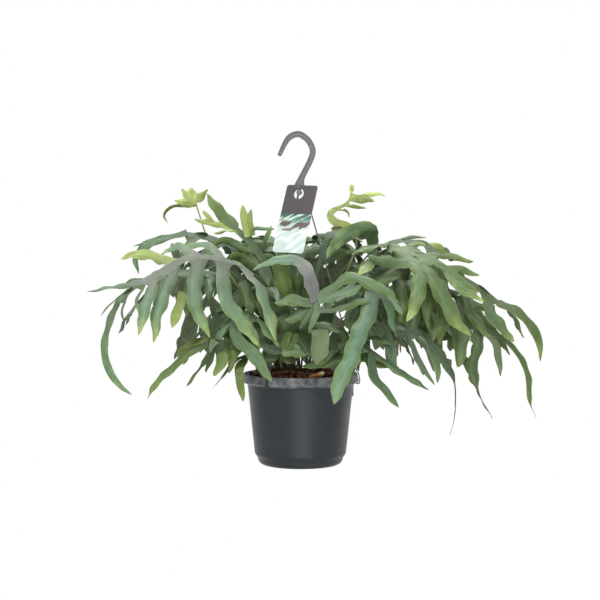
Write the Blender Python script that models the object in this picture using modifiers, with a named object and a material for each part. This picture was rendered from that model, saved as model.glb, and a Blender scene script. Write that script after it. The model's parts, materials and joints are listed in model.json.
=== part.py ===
"""A blue star fern in a hanging plastic pot, modelled in metres with +Z up.

The pot's floor stands on z = 0 with the pot's axis on the z axis. The pot hangs from a moulded hook by three
strands. Every frond grows from the potting mix as one piece: a stalk, a midrib with a narrow wing, side lobes
in pairs and an end lobe. Fronds are grown one after another, and each lobe is turned or shortened a little
until it is clear of everything that is already there.
"""

import itertools
import math

import bmesh
import bpy
import numpy as np
from mathutils import Matrix
from mathutils.bvhtree import BVHTree

CM = 0.01
UP = np.array([0.0, 0.0, 1.0])
GAP = 0.0003

# Pot: outer radii and heights of the moulded shell
POT_HEIGHT = 0.133
POT_WALL = 0.0018
RIM_RADIUS = 0.083
SKIRT_RADIUS = 0.085
SKIRT_HEIGHT = 0.0145
SKIRT_WALL = 0.0016
WALL_TOP_RADIUS = 0.077
WALL_FOOT_RADIUS = 0.0665
STEP_HEIGHT = 0.015
FOOT_RADIUS = 0.0625
BASE_RADIUS = 0.054
FLOOR_THICKNESS = 0.0025
TURN_STEPS = 40
DRAIN_HOLES = 6
DRAIN_RING_RADIUS = 0.036
DRAIN_RADIUS = 0.0045

# Potting mix: a mound that stands a little above the rim in the middle
MIX_TOP = 0.135
MIX_DROP = 0.007
RHIZOME_STATIONS = 9

# Hanger
HUB_Z = 0.4015
HUB_RADIUS = 0.008
HUB_THICKNESS = 0.0025
HOOK_THICKNESS = 0.0052
HOOK_EDGE = 0.0008
HOOK_STATIONS = 34
HUB_X = -0.002
NECK_RADIUS = 0.0028
PEG_Z = 0.3945
PEG_X = 0.0005
PEG_RADIUS = 0.002
PEG_BACK = 0.001
BUTTON_RADIUS = 0.0042
BUTTON_BACK = -0.0088
BUTTON_FRONT = -0.0135
STRAND_RADIUS = 0.001
STRAND_TOP_RADIUS = 0.005
STRAND_AZIMUTHS = (236.5, 356.5, 116.5)
CLIP_WIDTH = 0.005
CLIP_THICKNESS = 0.0014

# Tag
TAG_SIZE = (0.049, 0.102)
TAG_THICKNESS = 0.0005
TAG_TOP = (0.002, -0.0095, 0.401)
TAG_TURN = 30.0
TAG_LEAN = 20.0
TAG_HOLE_RADIUS = 0.0065
TAG_HOLE_DROP = 0.0076
TAG_HOLE_X = -0.003
TAG_HOLE_SIDES = 20
TAG_CORNER = 0.004

# Fronds: thicknesses of the solids, and how lobes are grown
STALK_THICKNESS = 0.003
BLADE_THICKNESS = 0.0009
STALK_HALF_WIDTH = 0.0014
WING_HALF_WIDTH = 0.0055
CLEARANCE = 0.0004
FOOT_LIFT = 0.002
STALK_STATIONS = 5
LIGHT_OUT = 0.8
LIGHT_UP = 0.6
LIGHT_TURN = 2.0
FRONT_LIGHT = (0, -0.8, 0.6)
CURVE_STEPS = 12
RIB_POINTS = 49
LOBE_POINTS = 25
BLADE_SHARE = 0.52
STALK_RING = 2.2
ARCH_FOOT = 14.0
SEED = 7

# Centre line of the hook from its tip to its foot: x, z and width, in centimetres
HOOK_LINE = (
    (-3.0, 45.0, 0.62),
    (-2.35, 46.4, 0.72),
    (-1.6, 47.45, 0.85),
    (-0.5, 47.9, 0.9),
    (0.3, 47.65, 0.88),
    (1.15, 46.9, 0.86),
    (1.7, 45.8, 0.86),
    (1.7, 45.0, 0.86),
    (1.35, 44.0, 0.86),
    (0.65, 42.6, 0.86),
    (0.1, 41.5, 0.95),
    (-0.2, 40.5, 1.5),
)

# Creeping rhizomes lying on the mix: x, y and thickness at each point, in centimetres
RHIZOMES = (
    ((-5.6, -2.6, 0.5), (-3.6, -3.4, 0.85), (-1.4, -3.3, 0.9), (0.4, -4.3, 0.6)),
    ((1.4, -4.6, 0.6), (3.2, -4.1, 0.95), (4.8, -2.8, 0.85), (5.9, -1.2, 0.5)),
    ((4.9, 1.2, 0.55), (3.9, 3.0, 0.9), (2.0, 4.4, 0.85), (-0.2, 5.0, 0.5)),
    ((-2.2, 4.8, 0.5), (-4.0, 3.2, 0.85), (-4.9, 1.2, 0.9), (-5.9, -0.6, 0.5)),
)

# Fronds placed one by one, in centimetres. Each has the midrib's points from the mix outwards, the share of
# that line that is bare stalk, a roll of the blade about it in degrees, and lobes as (width, points to the
# tip). "left" and "right" are seen from above, looking outwards; None grows a lobe by rule.
PLACED = (
    dict(
        rib=((-2.5, -1.5, 0), (-3.2, -3, 19.5), (-4.8, -5.2, 25.5), (-7.5, -7.2, 28.6), (-11.5, -9.5, 30.1),
             (-15.3, -11, 30.3), (-18.9, -12.5, 28.4), (-21.6, -14, 27)),
        stalk=0.47, roll=45, size=(8, 1.9), hang=0.5,
        left=((1.8, (-4.8, -9.5, 25.5), (-2.4, -10.5, 18.9)),
              (2.2, (-10.4, -12, 25.5), (-8.2, -13, 21.7), (-5.7, -13.2, 18.2)),
              (2.1, (-14.6, -13.5, 26), (-13.6, -14.3, 22.5), (-12.3, -14.6, 19.4)),
              (1.8, (-19.1, -14.8, 24), (-19.9, -15.5, 18.8)),
              (1.6, (-20.8, -16, 24), (-21.8, -17, 19.9))),
        right=(None,
               (1.8, (-12.8, -6, 32), (-16, -5, 31.9), (-19.4, -5, 31.2)),
               None,
               (1.5, (-20.6, -9, 30.6), (-23, -8.5, 30.8), (-25.1, -8.5, 30)),
               (1.1, (-23, -11, 28.8), (-25.5, -10.5, 28.3))),
        end=(1.2, (-25, -15, 26.4), (-28.8, -16, 25.7)),
    ),
    dict(
        rib=((1.6, -1.4, 0), (3.5, -3.5, 21), (6, -7.5, 26.2), (8.6, -11, 27.4), (9.8, -13.6, 25.9)),
        stalk=0.6, roll=0, size=(6.5, 1.7), hang=0.7,
        left=((1.8, (9, -7.5, 27.5), (12.5, -9, 25.5)),
              (1.8, (11.5, -11, 26.5), (14, -12.5, 22.5)),
              (1.5, (12, -13.5, 24), (12.9, -14.5, 20))),
        right=(None,
               (1.4, (6.5, -10.5, 26), (4.5, -11.5, 24.2)),
               (1.4, (7.8, -14, 25.2), (4.7, -14.4, 23.3), (2.3, -14.6, 23))),
        end=(2.4, (9.6, -15, 24), (8.6, -16, 21.5), (7.4, -16.6, 18.5), (5.9, -17, 15.2), (4.6, -17, 11)),
    ),
    dict(
        rib=((2.6, -0.8, 0), (4.6, -2.2, 21), (7.8, -4, 27.5), (12, -6, 31.2), (15.6, -7.6, 31),
             (18.8, -9, 29.6), (21.5, -10, 27.8)),
        stalk=0.56, roll=-45, size=(7, 1.8), hang=0.5,
        right=((2, (10.5, -8, 29.6), (8.8, -10, 26.5)),
               (2.2, (15.8, -10, 28.5), (15.6, -11.5, 26), (14.4, -12.2, 23.5), (13, -12.6, 21.3)),
               (2.4, (18, -11, 28), (19.8, -12, 25.3), (20.9, -12.6, 22.6), (23.4, -13, 19.6)),
               (1.6, (22.6, -11.5, 26), (25.2, -12, 24.2))),
        left=(None,
              (1, (16.5, -6, 32.2), (17.7, -6, 32)),
              (1.2, (20.5, -7.5, 30.6), (23.2, -7.5, 30)),
              (1.3, (22.7, -9, 28.6), (25, -8.5, 27.8))),
        end=(1.3, (23, -10.6, 26.8), (24.6, -11, 25.6)),
    ),
    dict(
        rib=((0.2, -1.2, 0), (0.4, -2.5, 21), (1, -5.5, 27), (1.4, -9, 28.8), (1.9, -12, 27.2),
             (2.2, -14, 24.5)),
        stalk=0.5, roll=0, size=(6, 1.6), hang=0.6,
        right=((1.5, (-2, -6, 28.5), (-5, -6.5, 27)),
               (1.5, (-1.4, -9, 30.1), (-5.3, -10, 29.2), (-6.8, -10.6, 28.2)),
               (1.2, (0.2, -11.8, 27.2), (-1.3, -12.6, 25.6)),
               (1.3, (0.8, -13.6, 25.4), (-1.1, -14.4, 23.6)),
               (1.4, (0.6, -14.6, 23.8), (-0.9, -15, 21.5))),
        left=(None,
              (1.5, (3, -10, 28.8), (3.5, -11, 26.6)),
              (1.5, (4.3, -11.5, 28.6), (7.6, -12, 28.6)),
              (1.6, (4.7, -13.5, 26.8), (8, -14, 27.8), (11.7, -14.5, 26), (13.5, -15, 24.1)),
              (1.2, (4.7, -15, 25.3), (8.1, -15.5, 26.8))),
        end=(1.5, (1.4, -15.6, 21.5), (1.1, -16, 19.6)),
    ),
    dict(
        rib=((3.2, 0.4, 0), (7, 0, 22), (12.5, -1, 28), (18.5, -2.2, 29), (24, -3.4, 26.6), (28, -4.2, 23.8)),
        stalk=0.48, roll=-50, size=(8, 1.8), hang=0.9,
        right=(None,
               None,
               (1.6, (20.5, -6, 25.5), (20.3, -8, 22), (18.2, -9, 18.4)),
               (1.7, (24, -6.5, 22.6), (26.9, -8, 18.8)),
               (2.0, (27.6, -6.5, 21.3), (30, -7.5, 18.3))),
        left=(None,
              None,
              None,
              (1.3, (27, -1.5, 27), (29.5, -1.5, 25)),
              (1.2, (30, -3.2, 22.4), (32, -3.4, 18.6))),
        end=(1.5, (31.2, -4.6, 22.2), (33.6, -5, 19.3), (34.1, -5.2, 15.4)),
    ),
    dict(
        rib=((3, -1.4, 0), (8, -2, 19.5), (15, -3, 23.6), (21.5, -4, 22.8), (26.5, -4.8, 19.8)),
        stalk=0.45, roll=-45, size=(7, 1.6), hang=1.0,
        right=(None,
               None,
               (1.3, (22, -6, 19.5), (22.4, -7, 15)),
               (1.3, (24.4, -6, 16.8), (23.4, -6.6, 13.8), (25.4, -7, 11.4))),
        left=(None,
              None,
              None,
              (1.1, (28, -4, 17.5), (28.5, -4.5, 13.2))),
        end=(1.0, (30.3, -5, 16.6), (32, -5, 13.4), (31.9, -5, 9.4), (33.8, -5, 6.8)),
    ),
    dict(
        rib=((-3, 1.2, 0), (-5.5, 0.8, 21), (-11, -1, 27.3), (-17.5, -3.5, 27.8), (-22.8, -5.5, 26.5),
             (-25.7, -6.8, 23.9)),
        stalk=0.5, roll=45, size=(5, 1.4), hang=0.6,
        left=(None,
              None,
              None,
              (1.2, (-23, -7.5, 24.4), (-22.6, -8.5, 22.4)),
              (1.0, (-25, -8.5, 23), (-24.6, -9, 21.2))),
        right=(None,
               None,
               None,
               None,
               (0.9, (-27.3, -6, 23.2), (-28.3, -6, 21.8))),
        end=(1.1, (-27, -8, 21.8), (-27.5, -8.5, 17.5), (-26.4, -8.5, 13.8), (-23.6, -8.3, 10.6)),
    ),
    dict(
        rib=((-1.6, -2.6, 0), (-4, -5.4, 19), (-6.8, -8.6, 22.2), (-9, -10.8, 21.8)),
        stalk=0.6, roll=0, size=(5, 1.5), hang=0.8,
        left=((1.6, (-5, -10.5, 21), (-3, -11.5, 18)),
              (1.3, (-7, -12.6, 20.4), (-6.2, -13.4, 17.8))),
        right=((1.5, (-9.3, -7.5, 21.5), (-11.5, -7.5, 19)),
               (1.5, (-11.2, -10.2, 20), (-12.6, -10.4, 17))),
        end=(1.8, (-9, -11.8, 19.8), (-7.6, -12.2, 18), (-5.3, -12.4, 15.4), (-3.9, -12.6, 13.2)),
    ),
    dict(
        rib=((-2, 2.5, 0), (-4, 3, 22), (-8, 3, 30), (-12.5, 2.5, 32.6), (-17, 2, 33.5)),
        stalk=0.62, roll=50, size=(6, 1.5), hang=0.6,
        right=((1.0, (-13, 4, 35.2), (-14.2, 4, 36.7)),
               (1.0, (-14.8, 4, 34.8), (-15.7, 4, 35.6)),
               (0.8, (-20.5, 4, 33.2), (-24.7, 3.5, 31.6))),
        left=(None, None, None),
        end=(1.0, (-20, 2, 33), (-22.4, 1.5, 32), (-23.8, 1, 30), (-23, 0.5, 27.2)),
    ),
    dict(
        rib=((-1.6, 0.3, 0), (-2.6, 0.3, 22), (-4.8, 0.2, 28.5), (-7, 0, 32), (-9.3, 0, 34.2)),
        stalk=0.6, roll=70, size=(5, 1.5), hang=0.3,
        right=((1.8, (-5.6, -1, 32.8), (-4.6, -1.6, 34.4), (-3.4, -2.2, 34)),
               (1.2, (-7, -0.8, 34.8), (-7.1, -1, 36.9)),
               (1.2, (-8.4, -0.4, 35.8), (-8.1, -0.4, 37.7))),
        left=((1.8, (-8.5, 0, 30.5), (-11.5, -1, 28.8)),
              (1.8, (-10.5, -0.5, 32.3), (-13.5, -1.5, 31)),
              (1.5, (-11.8, 0, 34.3), (-14.5, -0.5, 34.6))),
        end=(2.0, (-11, 0, 36), (-12.5, 0, 37.8), (-13.6, 0, 39.3)),
    ),
    dict(
        rib=((-1, 3.6, 0), (-5, 4.5, 23), (-10, 5, 30.5), (-14, 5, 34.4), (-15.2, 5, 37.2)),
        stalk=0.82, roll=90, size=(3, 1.0), hang=0, wing=0.3,
        right=((1.1, (-13.8, 5, 37.8), (-13.2, 5.3, 38.8)),
               (1.3, (-14.2, 5.2, 39), (-13.7, 5.5, 40.1))),
        left=((0.7, (-17.6, 4, 38), (-19.6, 4, 37.2), (-20.3, 4, 36), (-19.3, 4, 34.8)),
              (1.3, (-17, 5, 38.2), (-18.8, 5, 38.7))),
        end=(1.4, (-16, 5, 38.9), (-17, 5, 40.3)),
    ),
    dict(
        rib=((1.8, 1.8, 0), (4, 2, 22), (7.2, 2, 30), (7.7, 2, 33.6), (6, 2, 35.2), (4.3, 2, 35.5),
             (4, 2, 36.6), (5.6, 2, 37.4), (6.9, 2, 38.4)),
        stalk=0.76, roll=90, size=(3, 1.0), hang=0, wing=0.3,
        right=((0.7, (3.2, 2, 36.8), (3.3, 2, 37.6)),
               (0.8, (4.9, 2, 38.4), (5.6, 2, 39.2)),
               (1.0, (6.8, 2, 39.4), (7.2, 2, 40.6))),
        left=((0.8, (5.2, 1.8, 36), (6.8, 1.5, 35.7)),
              (0.9, (7, 1.8, 37.2), (9.3, 1.6, 37)),
              (0.9, (8.2, 2, 38), (10.7, 2, 37.9))),
        end=(1.0, (8.6, 2, 38.9), (12.3, 2.3, 38.9)),
    ),
    dict(
        rib=((2.4, 1, 0), (5, 0.5, 22), (8.5, -0.5, 29), (12, -1.5, 32), (16, -2.5, 32.4), (20, -3.5, 31)),
        stalk=0.5, roll=-25, size=(7, 1.7), hang=0.6,
        left=(None,
              (1.8, (10.2, -2.5, 33.9), (7.5, -3.5, 34), (5.2, -4, 32.2), (3.7, -5, 30)),
              (0.8, (16, -1, 33.2), (18.2, -0.5, 33)),
              None,
              None),
        right=(None,
               (2.2, (12.6, -5, 31), (10.8, -7.5, 29.6), (9, -8.5, 28)),
               None,
               None,
               None),
        end=(1.2, (22.5, -4, 30.2), (24.6, -4.5, 29.6)),
    ),
    dict(
        rib=((2.8, 2.2, 0), (7, 1.5, 21), (14, 0.2, 26.2), (20, -1.6, 25.8), (24.6, -3, 22.8)),
        stalk=0.45, roll=-45, size=(8, 1.8), hang=1.1,
        right=(None, None, None, None),
        left=(None, None, (1.4, (25.4, 0.5, 24.5), (28, 0.5, 22)), (1.4, (27, -1.8, 22.6), (29.4, -2, 19.8))),
        end=(1.5, (26.8, -3.6, 20), (29.2, -4, 15.6)),
    ),
    dict(
        rib=((2.2, 3, 0), (7, 2.6, 19), (13, 1.5, 22.5), (18.4, 0, 21), (21.8, -1.2, 18.4)),
        stalk=0.45, roll=-45, size=(6.5, 1.6), hang=1.1,
        right=(None, None, None),
        left=(None, None, None),
        end=(1.4, (23.8, -1.6, 15.6), (25.4, -2, 12)),
    ),
    dict(
        rib=((0.8, 3.4, 0), (1.4, 3.6, 22), (2.6, 3.8, 28), (4.2, 3.4, 31.4)),
        stalk=0.7, roll=60, size=(4.5, 1.5), hang=0.2,
        right=(None, None),
        left=(None, (1.5, (5.6, 3, 31.6), (7.4, 2.6, 31.2))),
        end=(1.6, (4.9, 3.3, 32.8), (5.3, 3.2, 34)),
    ),
    dict(
        rib=((2.4, -2.2, 0), (6, -5, 18.6), (11, -8, 21), (15.8, -10, 20), (19, -11, 17.6)),
        stalk=0.4, roll=-40, size=(5, 1.5), hang=0.9,
        right=((1.5, (9, -9, 18), (9.6, -10.5, 14.5)),
               (1.5, (12.3, -10, 18), (13.2, -11.5, 14.5)),
               (1.2, (16.6, -12, 15.6), (18.4, -13, 12.8)),
               (1.0, (18.3, -12.5, 15), (18, -13, 13))),
        left=(None,
              None,
              (1.2, (18.3, -8.5, 17.5), (19.5, -8.5, 14.5)),
              (1.2, (20.2, -10, 16.5), (20.8, -10.2, 14))),
        end=(0.8, (21, -11.6, 14), (21.4, -12, 9.5), (20.6, -12, 5.8)),
    ),
    dict(
        rib=((1.8, -3, 0), (4.6, -6.8, 17.8), (7.8, -9.8, 18.8), (9.8, -11.6, 17.2)),
        stalk=0.5, roll=0, size=(4, 1.3), hang=0.8,
        right=((1.4, (4.2, -10, 17.2), (2.6, -11, 15.4)),
               (1.3, (7, -13, 15.8), (6.6, -13.6, 13.2))),
        left=((1.3, (10.5, -9, 17.8), (12.8, -9, 16.2)),
              (1.4, (13, -12, 15.3), (17.6, -13.4, 12.2))),
        end=(1.5, (10.2, -13, 14), (13.4, -14.4, 9.9)),
    ),
    dict(
        rib=((0.4, -2.8, 0), (1.2, -4.2, 17), (2.2, -5.8, 19.6), (2.7, -7.2, 19.9)),
        stalk=0.55, roll=0, size=(4, 1.3), hang=0.6,
        right=((1.2, (0, -6, 18.6), (-2.2, -6.6, 17)), None),
        left=((1.2, (3.6, -6, 19.6), (5.2, -6.6, 18.9)),
              (1.2, (4.3, -8, 19), (5.4, -8.5, 16.5))),
        end=(2.4, (2.6, -8.6, 18.2), (1.6, -9.2, 15.4)),
    ),
    dict(
        rib=((-3, -1.8, 0), (-6, -3.8, 18.4), (-10, -5.8, 19.6), (-13, -7.2, 18)),
        stalk=0.5, roll=40, size=(5, 1.4), hang=0.8,
        left=((1.5, (-7.8, -8.5, 18), (-8.8, -10, 15.4)),
              (1.4, (-10.8, -8.8, 17), (-12, -9.8, 13)),
              (1.3, (-13.6, -9.4, 15.6), (-15.8, -10, 12.2))),
        right=(None,
               (1.6, (-13.4, -5, 19), (-16.4, -5.4, 16.4)),
               (1.5, (-15.8, -6.4, 18), (-17.6, -6.6, 15))),
        end=(1.2, (-15.6, -8, 16.9), (-18.2, -9, 14.8), (-20.4, -9.5, 12.4), (-21.4, -10, 10.4)),
    ),
    dict(
        rib=((-3.2, -2.6, 0), (-5.6, -4.6, 16.2), (-8.4, -6.6, 16), (-10.2, -7.8, 14.2)),
        stalk=0.5, roll=0, size=(3.5, 1.2), hang=0.9,
        left=((1.3, (-7.3, -8.6, 14.6), (-8, -9.6, 10.6)),
              (1.0, (-9.4, -9.5, 13), (-9.9, -9.8, 11.4))),
        right=((1.2, (-9.6, -5.4, 15.4), (-11, -5.6, 13.6)), None),
        end=(1.0, (-11.4, -8.6, 13), (-12.2, -9, 12)),
    ),
)

# Fronds grown by rule: compass direction in degrees from +X, how far out the tip reaches, the height of the
# top of the arch and of the end of the midrib, pairs of lobes, and the lobes' length, width and hang
ARCHING = (
    (18, 27, 29, 21, 5, 8.0, 1.8, 0.8),
    (38, 25, 32, 25, 5, 8.0, 1.9, 0.6),
    (57, 26, 29, 19, 5, 8.0, 1.8, 0.8),
    (76, 23, 33, 27, 5, 7.5, 1.8, 0.5),
    (95, 26, 30, 20, 5, 8.0, 1.9, 0.8),
    (114, 23, 33, 26, 5, 7.5, 1.8, 0.6),
    (133, 26, 29, 19, 5, 8.0, 1.8, 0.8),
    (150, 24, 32, 26, 5, 7.5, 1.8, 0.5),
    (168, 25, 30, 23, 5, 7.0, 1.7, 0.6),
    (30, 19, 23, 16, 4, 6.0, 1.5, 0.9),
    (66, 18, 21, 12, 4, 6.0, 1.5, 0.9),
    (102, 19, 22, 13, 4, 6.0, 1.5, 0.9),
    (142, 16, 22, 16, 4, 5.5, 1.5, 0.7),
    (182, 15, 22, 18, 4, 5.5, 1.5, 0.6),
    (48, 12, 34, 33, 3, 5.5, 1.5, 0.3),
    (128, 12, 33, 32, 3, 5.5, 1.5, 0.3),
    (85, 9, 32, 33, 3, 5.0, 1.5, 0.2),
    (203, 14, 25, 21, 4, 6.0, 1.6, 0.7),
    (226, 11, 26, 24, 4, 5.5, 1.6, 0.6),
    (252, 11, 25, 21, 4, 5.5, 1.6, 0.7),
    (276, 11, 22, 17, 3, 5.0, 1.5, 0.8),
    (300, 11, 25, 21, 4, 5.5, 1.6, 0.7),
    (322, 13, 26, 22, 4, 6.0, 1.6, 0.7),
    (343, 15, 25, 19, 4, 6.0, 1.6, 0.8),
)

BLUE_GREEN = (0.16, 0.27, 0.19)
YOUNG_GREEN = (0.35, 0.47, 0.16)
ANTHRACITE = (0.045, 0.05, 0.054)
HANGER_GREY = (0.18, 0.185, 0.19)
BARK_BROWN = (0.06, 0.035, 0.022)
GOLDEN_BROWN = (0.38, 0.24, 0.08)
TAUPE = (0.12, 0.10, 0.12)


def clear_scene():
    """Remove whatever the file opened with."""
    for obj in list(bpy.data.objects):
        bpy.data.objects.remove(obj, do_unlink=True)


def new_collection(name):
    """A collection of this name, linked to the scene."""
    collection = bpy.data.collections.new(name)
    bpy.context.scene.collection.children.link(collection)
    return collection


def material(name, colour, roughness):
    """A plain Principled material."""
    made = bpy.data.materials.new(name)
    made.use_nodes = True
    shader = made.node_tree.nodes["Principled BSDF"]
    shader.inputs["Base Color"].default_value = (*colour, 1.0)
    shader.inputs["Roughness"].default_value = roughness
    shader.inputs["Metallic"].default_value = 0.0
    return made


def add_object(name, data, collection, look):
    """An object for this mesh or curve, with one material."""
    obj = bpy.data.objects.new(name, data)
    collection.objects.link(obj)
    if look is not None:
        data.materials.append(look)
    return obj


def as_mesh(obj):
    """The same object with its curve or modifiers turned into one plain closed mesh."""
    graph = bpy.context.evaluated_depsgraph_get()
    made = bpy.data.meshes.new_from_object(obj.evaluated_get(graph))
    shape = bmesh.new()
    shape.from_mesh(made)
    bmesh.ops.remove_doubles(shape, verts=shape.verts, dist=1e-6)
    bmesh.ops.recalc_face_normals(shape, faces=shape.faces)
    shape.to_mesh(made)
    shape.free()
    name = obj.name
    matrix = obj.matrix_world.copy()
    collection = obj.users_collection[0]
    bpy.data.objects.remove(obj, do_unlink=True)
    solid = add_object(name, made, collection, None)
    solid.matrix_world = matrix
    return solid


def combine(obj, other, operation):
    """Join the other solid to this one, or cut it away, and keep the other out of sight."""
    boolean = obj.modifiers.new(operation.lower(), "BOOLEAN")
    boolean.operation = operation
    boolean.solver = "EXACT"
    boolean.object = other
    other.hide_render = True
    other.display_type = "WIRE"


def turned(name, profile, collection, look):
    """A solid of revolution about z from a closed or axis-to-axis profile of (radius, z)."""
    mesh = bpy.data.meshes.new(name)
    mesh.from_pydata([(r, 0, z) for r, z in profile], [(i, i + 1) for i in range(len(profile) - 1)], [])
    obj = add_object(name, mesh, collection, look)
    screw = obj.modifiers.new("turn", "SCREW")
    screw.steps = TURN_STEPS
    screw.render_steps = TURN_STEPS
    screw.use_merge_vertices = True
    screw.merge_threshold = 0.00001
    screw.use_smooth_shade = True
    return obj


def cylinder(name, radius, length, matrix, collection):
    """A closed cylinder about its own z, placed by a matrix."""
    shape = bmesh.new()
    bmesh.ops.create_cone(
        shape, cap_ends=True, segments=16, radius1=radius, radius2=radius, depth=length, matrix=matrix
    )
    mesh = bpy.data.meshes.new(name)
    shape.to_mesh(mesh)
    shape.free()
    return add_object(name, mesh, collection, None)


def line_curve(name, points, depth, collection, look, widths=None, extrude=0.0, resolution=2):
    """A round or strap-shaped solid swept along straight stretches between points."""
    data = bpy.data.curves.new(name, "CURVE")
    data.dimensions = "3D"
    data.bevel_depth = depth
    data.bevel_resolution = resolution
    data.extrude = extrude
    data.use_fill_caps = True
    line = data.splines.new("POLY")
    line.points.add(len(points) - 1)
    for i, point in enumerate(points):
        line.points[i].co = (*point, 1.0)
        line.points[i].radius = widths[i] if widths else 1.0
    return add_object(name, data, collection, look)


def smooth_path(points, count):
    """Evenly spaced points along the smooth Catmull-Rom curve through the given ones."""
    p = np.asarray(points, float)
    p = np.vstack([2 * p[0] - p[1], p, 2 * p[-1] - p[-2]])
    t = np.linspace(0, 1, CURVE_STEPS, endpoint=False)[:, None]
    pieces = [
        b + 0.5 * ((c - a) * t + (2 * a - 5 * b + 4 * c - d) * t**2 + (3 * b - a - 3 * c + d) * t**3)
        for a, b, c, d in zip(p, p[1:], p[2:], p[3:])
    ]
    dense = np.vstack(pieces + [p[-2:-1]])
    run = np.append(0, np.cumsum(np.linalg.norm(np.diff(dense, axis=0), axis=1)))
    even = np.linspace(0, run[-1], count)
    return np.column_stack([np.interp(even, run, dense[:, axis]) for axis in range(3)])


def unit(vectors):
    """Vectors scaled to length one, along the last axis."""
    return vectors / np.linalg.norm(vectors, axis=-1, keepdims=True)


def carried_across(centre, first):
    """Directions across a line, carried along it from the first with no needless twist."""
    ahead = unit(np.gradient(centre, axis=0))
    across = [first]
    for direction in ahead:
        last = across[-1]
        across.append(unit(last - np.dot(last, direction) * direction))
    return ahead, np.array(across[1:])


def at_shares(values, shares):
    """Rows of an evenly spaced table read at shares of its length."""
    places = np.linspace(0, 1, len(values))
    return np.column_stack([np.interp(shares, places, values[:, axis]) for axis in range(3)])


def mix_height(x, y):
    """Height of the potting mix at a place, in metres."""
    return MIX_TOP - MIX_DROP * (x * x + y * y) / (WALL_TOP_RADIUS**2)


def build_pot(collection, cutters, look):
    """The pot: one moulded shell with a skirted rim, a step above the foot and drain holes."""
    top = POT_HEIGHT
    skirt_foot = top - SKIRT_HEIGHT
    profile = (
        (0, FLOOR_THICKNESS),
        (BASE_RADIUS - 0.003, FLOOR_THICKNESS),
        (FOOT_RADIUS - 0.003, 0.006),
        (FOOT_RADIUS - POT_WALL, STEP_HEIGHT),
        (WALL_FOOT_RADIUS - POT_WALL, STEP_HEIGHT + 0.002),
        (WALL_TOP_RADIUS - POT_WALL, skirt_foot + 0.002),
        (RIM_RADIUS - SKIRT_WALL - 0.002, top - 0.0018),
        (RIM_RADIUS - SKIRT_WALL, top - 0.0006),
        (RIM_RADIUS - 0.0008, top),
        (RIM_RADIUS, top - 0.0008),
        (SKIRT_RADIUS, skirt_foot + 0.0015),
        (SKIRT_RADIUS - 0.0004, skirt_foot),
        (SKIRT_RADIUS - 0.003, skirt_foot - 0.001),
        (WALL_TOP_RADIUS, skirt_foot - 0.0025),
        (WALL_FOOT_RADIUS, STEP_HEIGHT),
        (FOOT_RADIUS, STEP_HEIGHT - 0.0012),
        (FOOT_RADIUS - 0.001, 0.005),
        (FOOT_RADIUS - 0.0035, 0.0012),
        (BASE_RADIUS, 0),
        (0, 0),
    )
    pot = as_mesh(turned("hanging_pot", profile, collection, look))
    pot.data.materials.append(look)
    for i in range(DRAIN_HOLES):
        angle = 2 * math.pi * i / DRAIN_HOLES
        place = (DRAIN_RING_RADIUS * math.cos(angle), DRAIN_RING_RADIUS * math.sin(angle), 0)
        cutter = cylinder(
            f"drain_cutter_{i + 1}", DRAIN_RADIUS, 4 * FLOOR_THICKNESS, Matrix.Translation(place), cutters
        )
        combine(pot, cutter, "DIFFERENCE")
    return pot


def build_mix(collection, look):
    """The potting mix that fills the pot, a low mound on top."""
    inner = WALL_TOP_RADIUS - POT_WALL - 2 * GAP
    profile = [(inner * r, mix_height(inner * r, 0)) for r in (0, 0.35, 0.65, 0.88, 1)]
    profile += [
        (inner - 0.0002, 0.121),
        (WALL_FOOT_RADIUS - POT_WALL - 2 * GAP, STEP_HEIGHT + 0.0024),
        (FOOT_RADIUS - POT_WALL - 2 * GAP, STEP_HEIGHT + 0.0005),
        (FOOT_RADIUS - 0.0037, 0.0064),
        (BASE_RADIUS - 0.0034, FLOOR_THICKNESS + GAP),
        (0, FLOOR_THICKNESS + GAP),
    ]
    return turned("potting_mix", profile, collection, look)


def build_rhizomes(collection, look):
    """Furry rhizomes that creep over the mix."""
    for i, rows in enumerate(RHIZOMES):
        points = []
        for x, y, thickness in rows:
            x, y, half = x * CM, y * CM, thickness * CM / 2
            points.append((x, y, mix_height(x, y) + half + 2 * GAP))
        path = smooth_path(points, RHIZOME_STATIONS)
        shares = np.linspace(0, 1, len(rows))
        stations = np.linspace(0, 1, RHIZOME_STATIONS)
        halves = np.interp(stations, shares, [row[2] * CM / 2 for row in rows])
        lift = np.array([mix_height(x, y) for x, y, _ in path]) + halves + 2 * GAP
        path[:, 2] = np.maximum(path[:, 2], lift)
        depth = max(halves)
        line_curve(
            f"rhizome_{i + 1}", path, depth, collection, look, widths=list(halves / depth), resolution=1
        )


def hook_outline():
    """The hook's closed outline in x and z: along one side of its centre line and back along the other."""
    rows = np.array(HOOK_LINE) * CM
    fine = smooth_path(rows, HOOK_STATIONS)
    line, half = fine[:, :2], fine[:, 2] / 2
    ahead = unit(np.gradient(line, axis=0))
    side = np.column_stack([-ahead[:, 1], ahead[:, 0]])
    left = line + side * half[:, None]
    right = line - side * half[:, None]
    turn = np.linspace(math.pi / 2, -math.pi / 2, 7)[1:-1, None]
    tip = line[0] + half[0] * (-ahead[0] * np.cos(turn) + side[0] * -np.sin(turn))
    return np.vstack([left, right[::-1], tip])


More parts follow.
